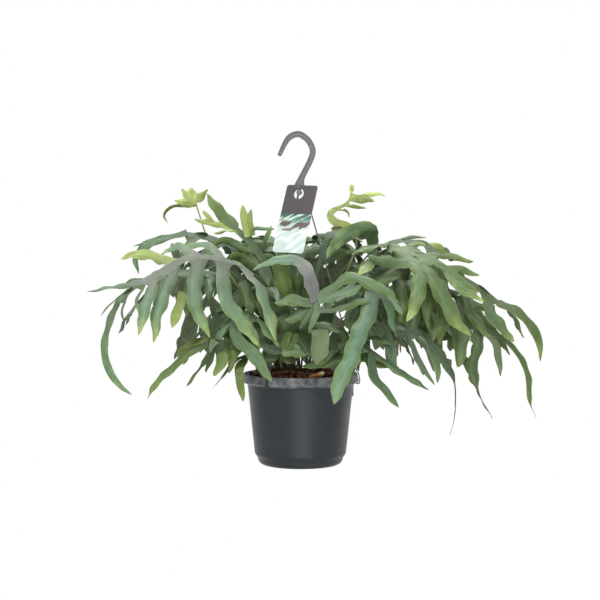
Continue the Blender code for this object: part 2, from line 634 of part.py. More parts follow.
def build_hook(collection, cutters, look):
    """The moulded hook with its hub, and the round button below it that the tag hangs on."""
    data = bpy.data.curves.new("hook_plate", "CURVE")
    data.dimensions = "2D"
    data.fill_mode = "BOTH"
    data.extrude = HOOK_THICKNESS / 2 - HOOK_EDGE
    data.bevel_depth = HOOK_EDGE
    data.bevel_resolution = 1
    data.offset = -HOOK_EDGE
    outline = hook_outline()
    line = data.splines.new("POLY")
    line.points.add(len(outline) - 1)
    for point, (x, z) in zip(line.points, outline):
        point.co = (x, z, 0, 1)
    line.use_cyclic_u = True
    plate = add_object("hanger_hook", data, collection, None)
    plate.matrix_world = Matrix.Rotation(math.pi / 2, 4, "X")
    plate = as_mesh(plate)
    plate.data.transform(plate.matrix_world)
    plate.matrix_world = Matrix.Identity(4)
    plate.data.materials.append(look)
    upright = Matrix.Identity(4)
    lying = Matrix.Rotation(math.pi / 2, 4, "X")
    neck_top = HUB_Z + HUB_THICKNESS / 2
    neck_foot = PEG_Z - PEG_RADIUS
    peg_end = BUTTON_BACK - 0.001
    for name, radius, length, centre, turn in (
        ("hub", HUB_RADIUS, HUB_THICKNESS, (HUB_X, 0, neck_top), upright),
        ("neck", NECK_RADIUS, neck_top - neck_foot, (HUB_X, 0, (neck_top + neck_foot) / 2), upright),
        ("peg", PEG_RADIUS, PEG_BACK - peg_end, (PEG_X, (PEG_BACK + peg_end) / 2, PEG_Z), lying),
        ("button", BUTTON_RADIUS, BUTTON_BACK - BUTTON_FRONT,
         (HUB_X, (BUTTON_BACK + BUTTON_FRONT) / 2, PEG_Z), lying),
    ):
        piece = cylinder(name, radius, length, Matrix.Translation(centre) @ turn, cutters)
        combine(plate, piece, "UNION")
    return plate


def build_strand(number, azimuth, collection, cutters, look):
    """One arm of the hanger: a thin rod from under the hub to a flat clip that grips the rim's skirt."""
    outside = SKIRT_RADIUS + CLIP_THICKNESS / 2 + GAP
    under = POT_HEIGHT - SKIRT_HEIGHT - 0.0015
    clip_line = (
        (RIM_RADIUS - 0.005, POT_HEIGHT + 0.0145),
        (RIM_RADIUS - 0.0015, POT_HEIGHT + 0.004),
        (RIM_RADIUS + 0.0018, POT_HEIGHT - 0.001),
        (outside + 0.0004, POT_HEIGHT - SKIRT_HEIGHT + 0.001),
        (outside, under - 0.0016),
        (SKIRT_RADIUS - 0.0035, under - 0.0026),
    )
    turn = Matrix.Rotation(math.radians(azimuth), 4, "Z")
    strap = line_curve(
        f"clip_{number}", [(r, z, 0) for r, z in clip_line], CLIP_THICKNESS / 2, cutters, None,
        extrude=CLIP_WIDTH / 2 - CLIP_THICKNESS / 2, resolution=1,
    )
    strap.matrix_world = turn @ Matrix.Rotation(math.pi / 2, 4, "X")
    strap = as_mesh(strap)
    strap.data.transform(strap.matrix_world)
    strap.matrix_world = Matrix.Identity(4)
    rod_top = (STRAND_TOP_RADIUS, 0, HUB_Z - 2 * GAP)
    rod_bend = (STRAND_TOP_RADIUS + 0.0012, 0, HUB_Z - 0.005)
    rod_foot = (RIM_RADIUS - 0.0047, 0, POT_HEIGHT + 0.0125)
    rod = line_curve(
        f"hanger_strand_{number}", (rod_top, rod_bend, rod_foot), STRAND_RADIUS, collection, look
    )
    rod.matrix_world = turn
    rod = as_mesh(rod)
    rod.data.transform(rod.matrix_world)
    rod.matrix_world = Matrix.Identity(4)
    rod.data.materials.append(look)
    combine(rod, strap, "UNION")


def tag_matrix():
    """Where the tag hangs: turned about the vertical and leaning forward on the strands."""
    place = Matrix.Translation(TAG_TOP)
    turn = Matrix.Rotation(math.radians(-TAG_TURN), 4, "Z")
    lean = Matrix.Rotation(math.radians(-TAG_LEAN), 4, "X")
    return place @ turn @ lean @ Matrix.Rotation(math.pi / 2, 4, "X")


def build_tag(collection, look):
    """A card with rounded corners and a round hole, as one flat outline with a hole in it."""
    data = bpy.data.curves.new("plant_tag", "CURVE")
    data.dimensions = "2D"
    data.fill_mode = "BOTH"
    data.extrude = TAG_THICKNESS / 2
    half_width, length = TAG_SIZE[0] / 2, TAG_SIZE[1]
    outline = []
    for cx, cy, start in (
        (half_width - TAG_CORNER, -TAG_CORNER, 0),
        (-half_width + TAG_CORNER, -TAG_CORNER, 90),
        (-half_width + TAG_CORNER, -length + TAG_CORNER, 180),
        (half_width - TAG_CORNER, -length + TAG_CORNER, 270),
    ):
        for step in range(4):
            angle = math.radians(start + 30 * step)
            outline.append((cx + TAG_CORNER * math.cos(angle), cy + TAG_CORNER * math.sin(angle)))
    hole = []
    for step in range(TAG_HOLE_SIDES):
        angle = -2 * math.pi * step / TAG_HOLE_SIDES
        x = TAG_HOLE_X + TAG_HOLE_RADIUS * math.cos(angle)
        hole.append((x, -TAG_HOLE_DROP + TAG_HOLE_RADIUS * math.sin(angle)))
    for points in (outline, hole):
        line = data.splines.new("POLY")
        line.points.add(len(points) - 1)
        for point, (x, y) in zip(line.points, points):
            point.co = (x, y, 0, 1)
        line.use_cyclic_u = True
    tag = add_object("plant_tag", data, collection, None)
    tag.matrix_world = tag_matrix()
    tag = as_mesh(tag)
    tag.data.materials.append(look)
    return tag


class Ground:
    """Everything already grown or built, kept to test a new lobe against."""

    def __init__(self):
        self.low = []
        self.high = []
        self.trees = []
        self.owners = []

    def add(self, points, faces, owner):
        """Remember one closed shape and the frond that it belongs to."""
        self.low.append(points.min(axis=0))
        self.high.append(points.max(axis=0))
        self.trees.append(BVHTree.FromPolygons(points.tolist(), faces))
        self.owners.append(owner)

    def touches(self, points, faces, owner=None):
        """Whether a closed shape meets anything here that the given frond doesn't own."""
        low, high = points.min(axis=0), points.max(axis=0)
        near = (np.array(self.low) <= high).all(axis=1) & (np.array(self.high) >= low).all(axis=1)
        tree = None
        for i in np.flatnonzero(near):
            if owner is not None and self.owners[i] == owner:
                continue
            tree = tree or BVHTree.FromPolygons(points.tolist(), faces)
            if tree.overlap(self.trees[i]):
                return True
        return False


def thick_strip(left, right, half):
    """A closed strip between two lines of points, this much thick on each side."""
    ahead = np.gradient((left + right) / 2, axis=0)
    normal = unit(np.cross(right - left, ahead)) * np.reshape(half, (-1, 1))
    outwards = unit(right - left) * np.reshape(half, (-1, 1))
    left, right = left - outwards, right + outwards
    rows = np.stack([left + normal, right + normal, right - normal, left - normal], axis=1)
    count = len(rows)
    faces = [(0, 1, 2, 3), tuple(4 * (count - 1) + i for i in (3, 2, 1, 0))]
    for row in range(count - 1):
        for i in range(4):
            j = (i + 1) % 4
            faces.append((4 * row + i, 4 * row + j, 4 * row + 4 + j, 4 * row + 4 + i))
    return rows.reshape(-1, 3), faces


def rib_frame(points, roll):
    """The midrib as evenly spaced points with the directions ahead and across at each."""
    centre = smooth_path(points, RIB_POINTS)
    outwards = points[-1] - points[0]
    first = unit(np.cross([outwards[0], outwards[1], 0.001], UP))
    ahead, across = carried_across(centre, first)
    turn = math.radians(roll) * np.clip(np.linspace(-0.6, 1.4, len(centre)), 0, 1)[:, None]
    across = np.cos(turn) * across + np.sin(turn) * np.cross(across, ahead)
    return centre, ahead, across


def rib_shares(frond):
    """Shares of the midrib's length at the stalk's stations and at the ends of the lobes' roots."""
    stalk = np.linspace(0, frond["stalk"], STALK_STATIONS)
    blade = np.linspace(frond["stalk"], 1, len(frond["left"]) + 1)
    return np.append(stalk[:-1], blade)


def rib_strip(frond, frame):
    """The two edges of the stalk and winged midrib, and half the thickness at each station."""
    centre, _, across = frame
    shares = rib_shares(frond)
    full = frond.get("wing", 1.0) * WING_HALF_WIDTH
    wing = np.where(shares >= frond["stalk"] - 1e-9, full, STALK_HALF_WIDTH)
    wing[STALK_STATIONS - 1] = (full + STALK_HALF_WIDTH) / 2
    wing[-1] = 0.7 * full
    half = np.where(shares < frond["stalk"] - 1e-9, STALK_THICKNESS / 2, BLADE_THICKNESS / 2)
    middle = at_shares(centre, shares)
    side = unit(at_shares(across, shares)) * wing[:, None]
    return middle - side, middle + side, half


def turned_points(points, pivot, axis, angle):
    """Points turned about an axis through a pivot."""
    arm = points - pivot
    along = np.outer(arm @ axis, axis)
    return pivot + along + (arm - along) * math.cos(angle) + np.cross(axis, arm) * math.sin(angle)


def turned_to_light(centre, ahead, across, face):
    """Directions across a lobe, turned more and more towards its tip until its upper side looks outwards."""
    if face is None:
        face = unit(centre[-1] * (1, 1, 0)) * LIGHT_OUT + UP * LIGHT_UP
    wanted = np.cross(ahead, face)
    wanted *= np.sign(np.einsum("ij,ij->i", wanted, across) + 1e-9)[:, None]
    return unit(across + LIGHT_TURN * np.linspace(0, 1, len(centre))[:, None] * wanted)


def lobe_edges(near, far, points, width, face):
    """The two edges of a lobe from its root, near and far, to its blunt tip."""
    rows = max(3, len(points) + 1)
    root = (near + far) / 2
    centre = smooth_path(np.vstack([root, points]), LOBE_POINTS)
    ahead, across = carried_across(centre, unit(far - near))
    across = turned_to_light(centre, ahead, across, face)
    shares = np.linspace(0, 1, rows + 1)[1:]
    shape = np.interp(shares, (0, 0.3, 0.6, 0.85, 1), (0.9, 0.95, 1, 0.75, 0.28))
    middle = at_shares(centre, shares)
    side = unit(at_shares(across, shares)) * (shape * width / 2)[:, None]
    return np.vstack([near, middle - side]), np.vstack([far, middle + side])


def nudges():
    """Small changes to a lobe, gentlest first: how far it lifts and swings, in radians, and its length."""
    lifts = (0, 0.14, -0.14, 0.28, -0.28, 0.45, -0.45, 0.65, -0.65)
    swings = (0, 0.14, -0.14, 0.28, -0.28, 0.45, -0.45)
    lengths = (1, 0.9, 0.78, 0.62)
    every = itertools.product(lifts, swings, lengths)
    return sorted(every, key=lambda n: abs(n[0]) + abs(n[1]) + 1.6 * (1 - n[2]))


NUDGES = nudges()


def lobe_by_rule(frond, frame, share, side, random):
    """A lobe's width and points where none is given: it leaves the midrib forwards and hangs."""
    centre, ahead, across = (at_shares(table, [share])[0] for table in frame)
    length, width = frond["size"]
    along = (share - frond["stalk"]) / (1 - frond["stalk"])
    length = length * CM * (0.72 + 0.38 * math.sin(math.pi * min(along + 0.15, 1))) * random.uniform(0.85, 1.1)
    sweep = 0.25 + 0.5 * along + random.uniform(-0.12, 0.12)
    hang = frond["hang"] + random.uniform(-0.2, 0.2)
    out = side * across * math.cos(sweep) + ahead * math.sin(sweep)
    points = []
    for part in (0.5, 1):
        drop = hang * part
        points.append(centre + length * part * (out * math.cos(drop) - UP * math.sin(drop)))
    return width * CM * random.uniform(0.88, 1.1), np.array(points)


def given_lobe(lobe):
    """A placed lobe's width and points in metres."""
    return lobe[0] * CM, np.array(lobe[1:]) * CM


def fitted_lobe(ground, owner, near, far, width, points, face):
    """The lobe's edges after the gentlest nudge that keeps it clear of everything, or None."""
    root = (near + far) / 2
    lift_axis = unit(far - near)
    swing_axis = unit(np.cross(lift_axis, points[-1] - root))
    half = BLADE_THICKNESS / 2 + CLEARANCE
    for lift, swing, length in NUDGES:
        moved = turned_points(points, root, lift_axis, lift)
        moved = root + length * (turned_points(moved, root, swing_axis, swing) - root)
        left, right = lobe_edges(near, far, moved, width, face)
        if ground.touches(*thick_strip(left, right, half), owner):
            continue
        outer = thick_strip(left[1:], right[1:], half)
        if ground.touches(*outer):
            continue
        return left, right
    return None


def sway(points, turn, shift):
    """A midrib turned about the vertical through its foot and shifted sideways at its foot."""
    foot = points[0]
    swayed = turned_points(points, foot, UP, turn)
    fade = np.linspace(1, 0.4, len(points))[:, None]
    return swayed + fade * np.array([*shift, 0])


def sways():
    """Small changes to a midrib, gentlest first: a turn in radians and a shift of the foot in metres."""
    turns = (0, 0.05, -0.05, 0.1, -0.1, 0.17, -0.17)
    steps = (0, 0.004, -0.004, 0.008, -0.008, 0.013, -0.013)
    every = itertools.product(turns, steps, steps)
    return sorted(every, key=lambda n: abs(n[0]) * 0.08 + math.hypot(n[1], n[2]))


SWAYS = sways()


def grown_rib(ground, frond, owner):
    """The frond's midrib frame and strip, swayed until its stalk is clear of everything."""
    points = np.array(frond["rib"], float) * CM
    for turn, *shift in SWAYS:
        tried = sway(points, turn, shift)
        x, y = tried[0][:2]
        tried[0][2] = mix_height(x, y) + FOOT_LIFT
        frame = rib_frame(tried, frond["roll"])
        left, right, half = rib_strip(frond, frame)
        shape = thick_strip(left, right, half + CLEARANCE)
        if not ground.touches(*shape):
            ground.add(*shape, owner)
            return frame, (left, right)
    return None


def arching_frond(row):
    """A frond that leaves the middle in one direction, arches over and comes down."""
    compass, reach, top, low, pairs, length, width, hang = row
    x, y = math.cos(math.radians(compass)), math.sin(math.radians(compass))
    rise = top - ARCH_FOOT
    arch = (
        (STALK_RING, ARCH_FOOT),
        (0.2 * reach, ARCH_FOOT + 0.45 * rise),
        (0.42 * reach, ARCH_FOOT + 0.88 * rise),
        (0.64 * reach, top),
        (0.84 * reach, (top + low) / 2 + 0.6),
        (reach, low),
    )
    side = (None,) * pairs
    rib = tuple((x * out, y * out, z) for out, z in arch)
    lobes = dict(size=(length, width), hang=hang, left=side, right=side, end=None)
    return dict(rib=rib, stalk=BLADE_SHARE, roll=0, **lobes)


def frond_mesh(name, strip, lobes, end):
    """The frond as one open sheet: the strip of the midrib, with each lobe growing from a piece of its edge."""
    shape = bmesh.new()
    stalk_group = 0
    weights = shape.verts.layers.deform.verify()
    left_line, right_line = strip
    sides = ([shape.verts.new(p) for p in left_line], [shape.verts.new(p) for p in right_line])
    for i in range(len(left_line) - 1):
        shape.faces.new((sides[0][i], sides[1][i], sides[1][i + 1], sides[0][i + 1]))
    for side, station, near_line, far_line in lobes:
        roots = sides[side]
        row = (roots[station], roots[station + 1])
        grow_rows(shape, row, near_line[1:], far_line[1:], flip=side == 1)
    if end is not None:
        row = (sides[0][-1], sides[1][-1])
        grow_rows(shape, row, end[0][1:], end[1][1:], flip=False)
    stalk_end = STALK_STATIONS - 1
    for i in range(len(left_line)):
        for side in sides:
            side[i][weights][stalk_group] = 1.0 if i < stalk_end else 0.0
    mesh = bpy.data.meshes.new(name)
    shape.to_mesh(mesh)
    shape.free()
    return mesh


def grow_rows(shape, row, near_points, far_points, flip):
    """Faces from a root edge out to a lobe's tip."""
    for near, far in zip(near_points, far_points):
        following = (shape.verts.new(near), shape.verts.new(far))
        face = (row[0], row[1], following[1], following[0])
        shape.faces.new(face[::-1] if flip else face)
        row = following


def build_frond(name, frond, frame, strip, ground, collection, look, random):
    """Grow the lobes of one frond and make its solid."""
    left_line, right_line = strip
    _, ahead, across = frame
    shares = rib_shares(frond)
    first = STALK_STATIONS - 1
    face = np.array(FRONT_LIGHT) if frond["end"] and frame[0][-1][1] < 0 else None
    lobes = []
    for station in range(first, len(shares) - 1):
        share = (shares[station] + shares[station + 1]) / 2
        for side, key in ((0, "left"), (1, "right")):
            given = frond[key][station - first]
            sign = (-1, 1)[side]
            width, points = given_lobe(given) if given else lobe_by_rule(frond, frame, share, sign, random)
            line = (left_line, right_line)[side]
            near, far = line[station], line[station + 1]
            rows = fitted_lobe(ground, name, near, far, width, points, face)
            if rows is None:
                continue
            half = BLADE_THICKNESS / 2 + CLEARANCE
            ground.add(*thick_strip(*rows, half), name)
            lobes.append((side, station, *rows))
    if frond["end"]:
        width, points = given_lobe(frond["end"])
    else:
        width, tip = frond["size"][1] * CM * 0.9, frame[0][-1]
        length = 0.75 * frond["size"][0] * CM
        points = np.array([tip + 0.5 * length * unit(ahead[-1] - 0.1 * UP),
                           tip + length * unit(ahead[-1] - 0.35 * UP)])
    near, far = left_line[-1], right_line[-1]
    end = fitted_lobe(ground, name, near, far, width, points, face)
    if end is not None:
        ground.add(*thick_strip(*end, BLADE_THICKNESS / 2 + CLEARANCE), name)
    mesh = frond_mesh(name, strip, lobes, end)
    obj = add_object(name, mesh, collection, look)
    group = obj.vertex_groups.new(name="stalk")
    solidify = obj.modifiers.new("thickness", "SOLIDIFY")
    solidify.thickness = STALK_THICKNESS
    solidify.offset = 0
    solidify.vertex_group = group.name
    solidify.thickness_vertex_group = BLADE_THICKNESS / STALK_THICKNESS


def built_ground(collection):
    """The pot, hanger, tag, mix and rhizomes as things that fronds keep clear of."""
    ground = Ground()
    graph = bpy.context.evaluated_depsgraph_get()
    for obj in collection.objects:
        mesh = obj.evaluated_get(graph).to_mesh()
        points = np.array([obj.matrix_world @ vertex.co for vertex in mesh.vertices])
        ground.add(points, [tuple(face.vertices) for face in mesh.polygons], obj.name)
    return ground


def build_fronds(collection, blue_look, young_look):
    """All fronds: every midrib first, then the lobes frond by frond."""
    random = np.random.RandomState(SEED)
    ground = built_ground(collection)
    fronds = list(PLACED) + [arching_frond(row) for row in ARCHING]
    grown = []
    for number, frond in enumerate(fronds):
        name = f"frond_{number + 1:02d}"
        rib = grown_rib(ground, frond, name)
        if rib is not None:
            grown.append((name, frond, *rib))
    for name, frond, frame, strip in grown:
        look = young_look if frond["roll"] == 90 else blue_look
        build_frond(name, frond, frame, strip, ground, collection, look, random)


def build():
    """The whole object."""
    clear_scene()
    collection = new_collection("hanging_blue_star_fern")
    cutters = new_collection("cutters")
    plastic = material("anthracite_plastic", ANTHRACITE, 0.45)
    hanger = material("grey_plastic", HANGER_GREY, 0.5)
    build_pot(collection, cutters, plastic)
    build_mix(collection, material("potting_mix", BARK_BROWN, 0.95))
    build_rhizomes(collection, material("rhizome", GOLDEN_BROWN, 0.9))
    build_hook(collection, cutters, hanger)
    for number, azimuth in enumerate(STRAND_AZIMUTHS):
        build_strand(number + 1, azimuth, collection, cutters, hanger)
    build_tag(collection, material("tag_card", TAUPE, 0.6))
    bpy.context.view_layer.update()
    build_fronds(
        collection,
        material("frond_blue_green", BLUE_GREEN, 0.55),
        material("frond_young_green", YOUNG_GREEN, 0.55),
    )


build()
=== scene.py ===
"""A blue star fern in a hanging plastic pot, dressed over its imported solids, in metres with +Z up.

The pot stands on z = 0 with its axis on the z axis. Every frond is grown from the same lines as its solid,
and each of its lobes is a fine surface on a grid: distance from the midrib by place across.
"""

import itertools
import json
import math

import bmesh
import bpy
import numpy as np
from mathutils import Matrix
from mathutils.bvhtree import BVHTree

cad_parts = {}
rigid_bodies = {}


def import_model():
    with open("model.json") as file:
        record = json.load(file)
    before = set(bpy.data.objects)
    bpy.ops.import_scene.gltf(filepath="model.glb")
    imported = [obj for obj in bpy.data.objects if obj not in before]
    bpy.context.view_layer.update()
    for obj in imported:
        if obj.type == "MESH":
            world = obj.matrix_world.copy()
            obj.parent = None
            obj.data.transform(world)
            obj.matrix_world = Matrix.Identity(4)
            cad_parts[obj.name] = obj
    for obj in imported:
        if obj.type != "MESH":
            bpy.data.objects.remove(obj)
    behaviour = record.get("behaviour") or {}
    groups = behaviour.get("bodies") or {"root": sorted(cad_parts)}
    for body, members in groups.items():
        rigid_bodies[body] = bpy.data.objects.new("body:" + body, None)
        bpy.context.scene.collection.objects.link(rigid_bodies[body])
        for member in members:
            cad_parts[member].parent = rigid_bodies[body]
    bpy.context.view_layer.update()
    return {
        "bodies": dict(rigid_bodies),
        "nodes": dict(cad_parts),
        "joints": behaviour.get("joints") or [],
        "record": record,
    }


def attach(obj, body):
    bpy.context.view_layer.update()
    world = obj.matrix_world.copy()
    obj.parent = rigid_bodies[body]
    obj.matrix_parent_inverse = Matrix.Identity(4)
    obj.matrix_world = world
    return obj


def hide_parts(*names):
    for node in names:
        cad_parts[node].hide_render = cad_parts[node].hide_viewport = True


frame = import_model()

CM = 0.01
UP = np.array([0.0, 0.0, 1.0])
GAP = 0.0003
TUBE_START = np.array([0.37, 0.61, 0.7])

# Pot, potting mix and hanger
POT_HEIGHT = 0.133
POT_WALL = 0.0018
RIM_RADIUS = 0.083
SKIRT_RADIUS = 0.085
SKIRT_DEPTH = 0.0128
SKIRT_WALL = 0.0016
WALL_TOP_RADIUS = 0.077
WALL_FOOT_RADIUS = 0.0665
STEP_HEIGHT = 0.015
FOOT_RADIUS = 0.0625
BASE_RADIUS = 0.054
FLOOR_THICKNESS = 0.0025
DRAIN_HOLES = 6
DRAIN_RING_RADIUS = 0.036
DRAIN_RADIUS = 0.0045
MIX_TOP = 0.135
MIX_DROP = 0.007
HUB_Z = 0.4015
HUB_RADIUS = 0.008
HUB_THICKNESS = 0.0025
HOOK_THICKNESS = 0.0052
HUB_X = -0.002
NECK_RADIUS = 0.0028
PEG_Z = 0.3945
PEG_X = 0.0005
PEG_RADIUS = 0.002
PEG_BACK = 0.001
BUTTON_RADIUS = 0.0042
BUTTON_BACK = -0.0088
BUTTON_FRONT = -0.0135
STRAND_RADIUS = 0.001
STRAND_TOP_RADIUS = 0.005
SOCKET_RADII = (0.0014, 0.0017, 0.0017, 0.0016, 0.0014, 0.0011)
STRAND_AZIMUTHS = (236.5, 356.5, 116.5)
CLIP_WIDTH = 0.005
CLIP_THICKNESS = 0.0014
TAG_SIZE = (0.0515, 0.103)
TAG_THICKNESS = 0.0005
TAG_TOP = (0.0025, -0.0095, 0.405)
TAG_TURN = 30
TAG_LEAN = 20
TAG_HOLE_RADIUS = 0.0078
TAG_HOLE_DROP = 0.0135
TAG_HOLE_X = -0.003
TAG_SWING = -2.7
TAG_CORNER = 0.004

# Fronds, as their solids are grown
STALK_THICKNESS = 0.003
BLADE_THICKNESS = 0.0009
STALK_HALF_WIDTH = 0.0014
WING_HALF_WIDTH = 0.0055
CLEARANCE = 0.0004
FOOT_LIFT = 0.002
STALK_STATIONS = 5
BLADE_START = STALK_STATIONS - 1
LIGHT_OUT = 0.8
LIGHT_UP = 0.6
LIGHT_TURN = 2
FRONT_LIGHT = (0, -0.8, 0.6)
CURVE_STEPS = 12
RIB_POINTS = 49
LOBE_POINTS = 25
BLADE_SHARE = 0.52
STALK_RING = 2.2
ARCH_FOOT = 14
SEED = 7

# Leaf surface: places across a lobe, from one edge to the other, and the leaf's real thickness
ACROSS = np.linspace(-1, 1, 9)
LEAF_THICKNESS = 0.0004
LOBE_DETAIL = 49
WING_START = 0.0008
THREAD_HALF_WIDTH = 0.0006
STALK_BURIED = 0.006
VEIN_RADIANS_PER_METRE = 1500

# How near points are made one, and how sharp a corner stays an edge
WELD = 1e-6
MOULDED_EDGE = math.radians(40)
LEAF_EDGE = math.radians(55)

# Studio
FLOOR_Z = -0.35
FLOOR_REACH = 4
SURROUND_LIGHT = 0.06

# Centre line of the hook from its tip to its foot: x, z and width, in centimetres
HOOK_LINE = (
    (-3, 45, 0.62), (-2.35, 46.4, 0.72), (-1.6, 47.45, 0.85), (-0.5, 47.9, 0.9), (0.3, 47.65, 0.88),
    (1.15, 46.9, 0.86), (1.7, 45.8, 0.86), (1.7, 45, 0.86), (1.35, 44, 0.86), (0.65, 42.6, 0.86),
    (0.1, 41.5, 0.95), (-0.2, 40.5, 1.5),
)

# Creeping rhizomes lying on the mix: x, y and thickness at each point, in centimetres
RHIZOMES = (
    ((-5.6, -2.6, 0.5), (-3.6, -3.4, 0.85), (-1.4, -3.3, 0.9), (0.4, -4.3, 0.6)),
    ((1.4, -4.6, 0.6), (3.2, -4.1, 0.95), (4.8, -2.8, 0.85), (5.9, -1.2, 0.5)),
    ((4.9, 1.2, 0.55), (3.9, 3, 0.9), (2, 4.4, 0.85), (-0.2, 5, 0.5)),
    ((-2.2, 4.8, 0.5), (-4, 3.2, 0.85), (-4.9, 1.2, 0.9), (-5.9, -0.6, 0.5)),
)

# Line of the growing tip of the second rhizome, in centimetres
GROWING_TIP = ((1.2, -6.2, 13.1), (2, -6.3, 13.3), (2.8, -6.3, 13.6), (3.4, -6.2, 14))

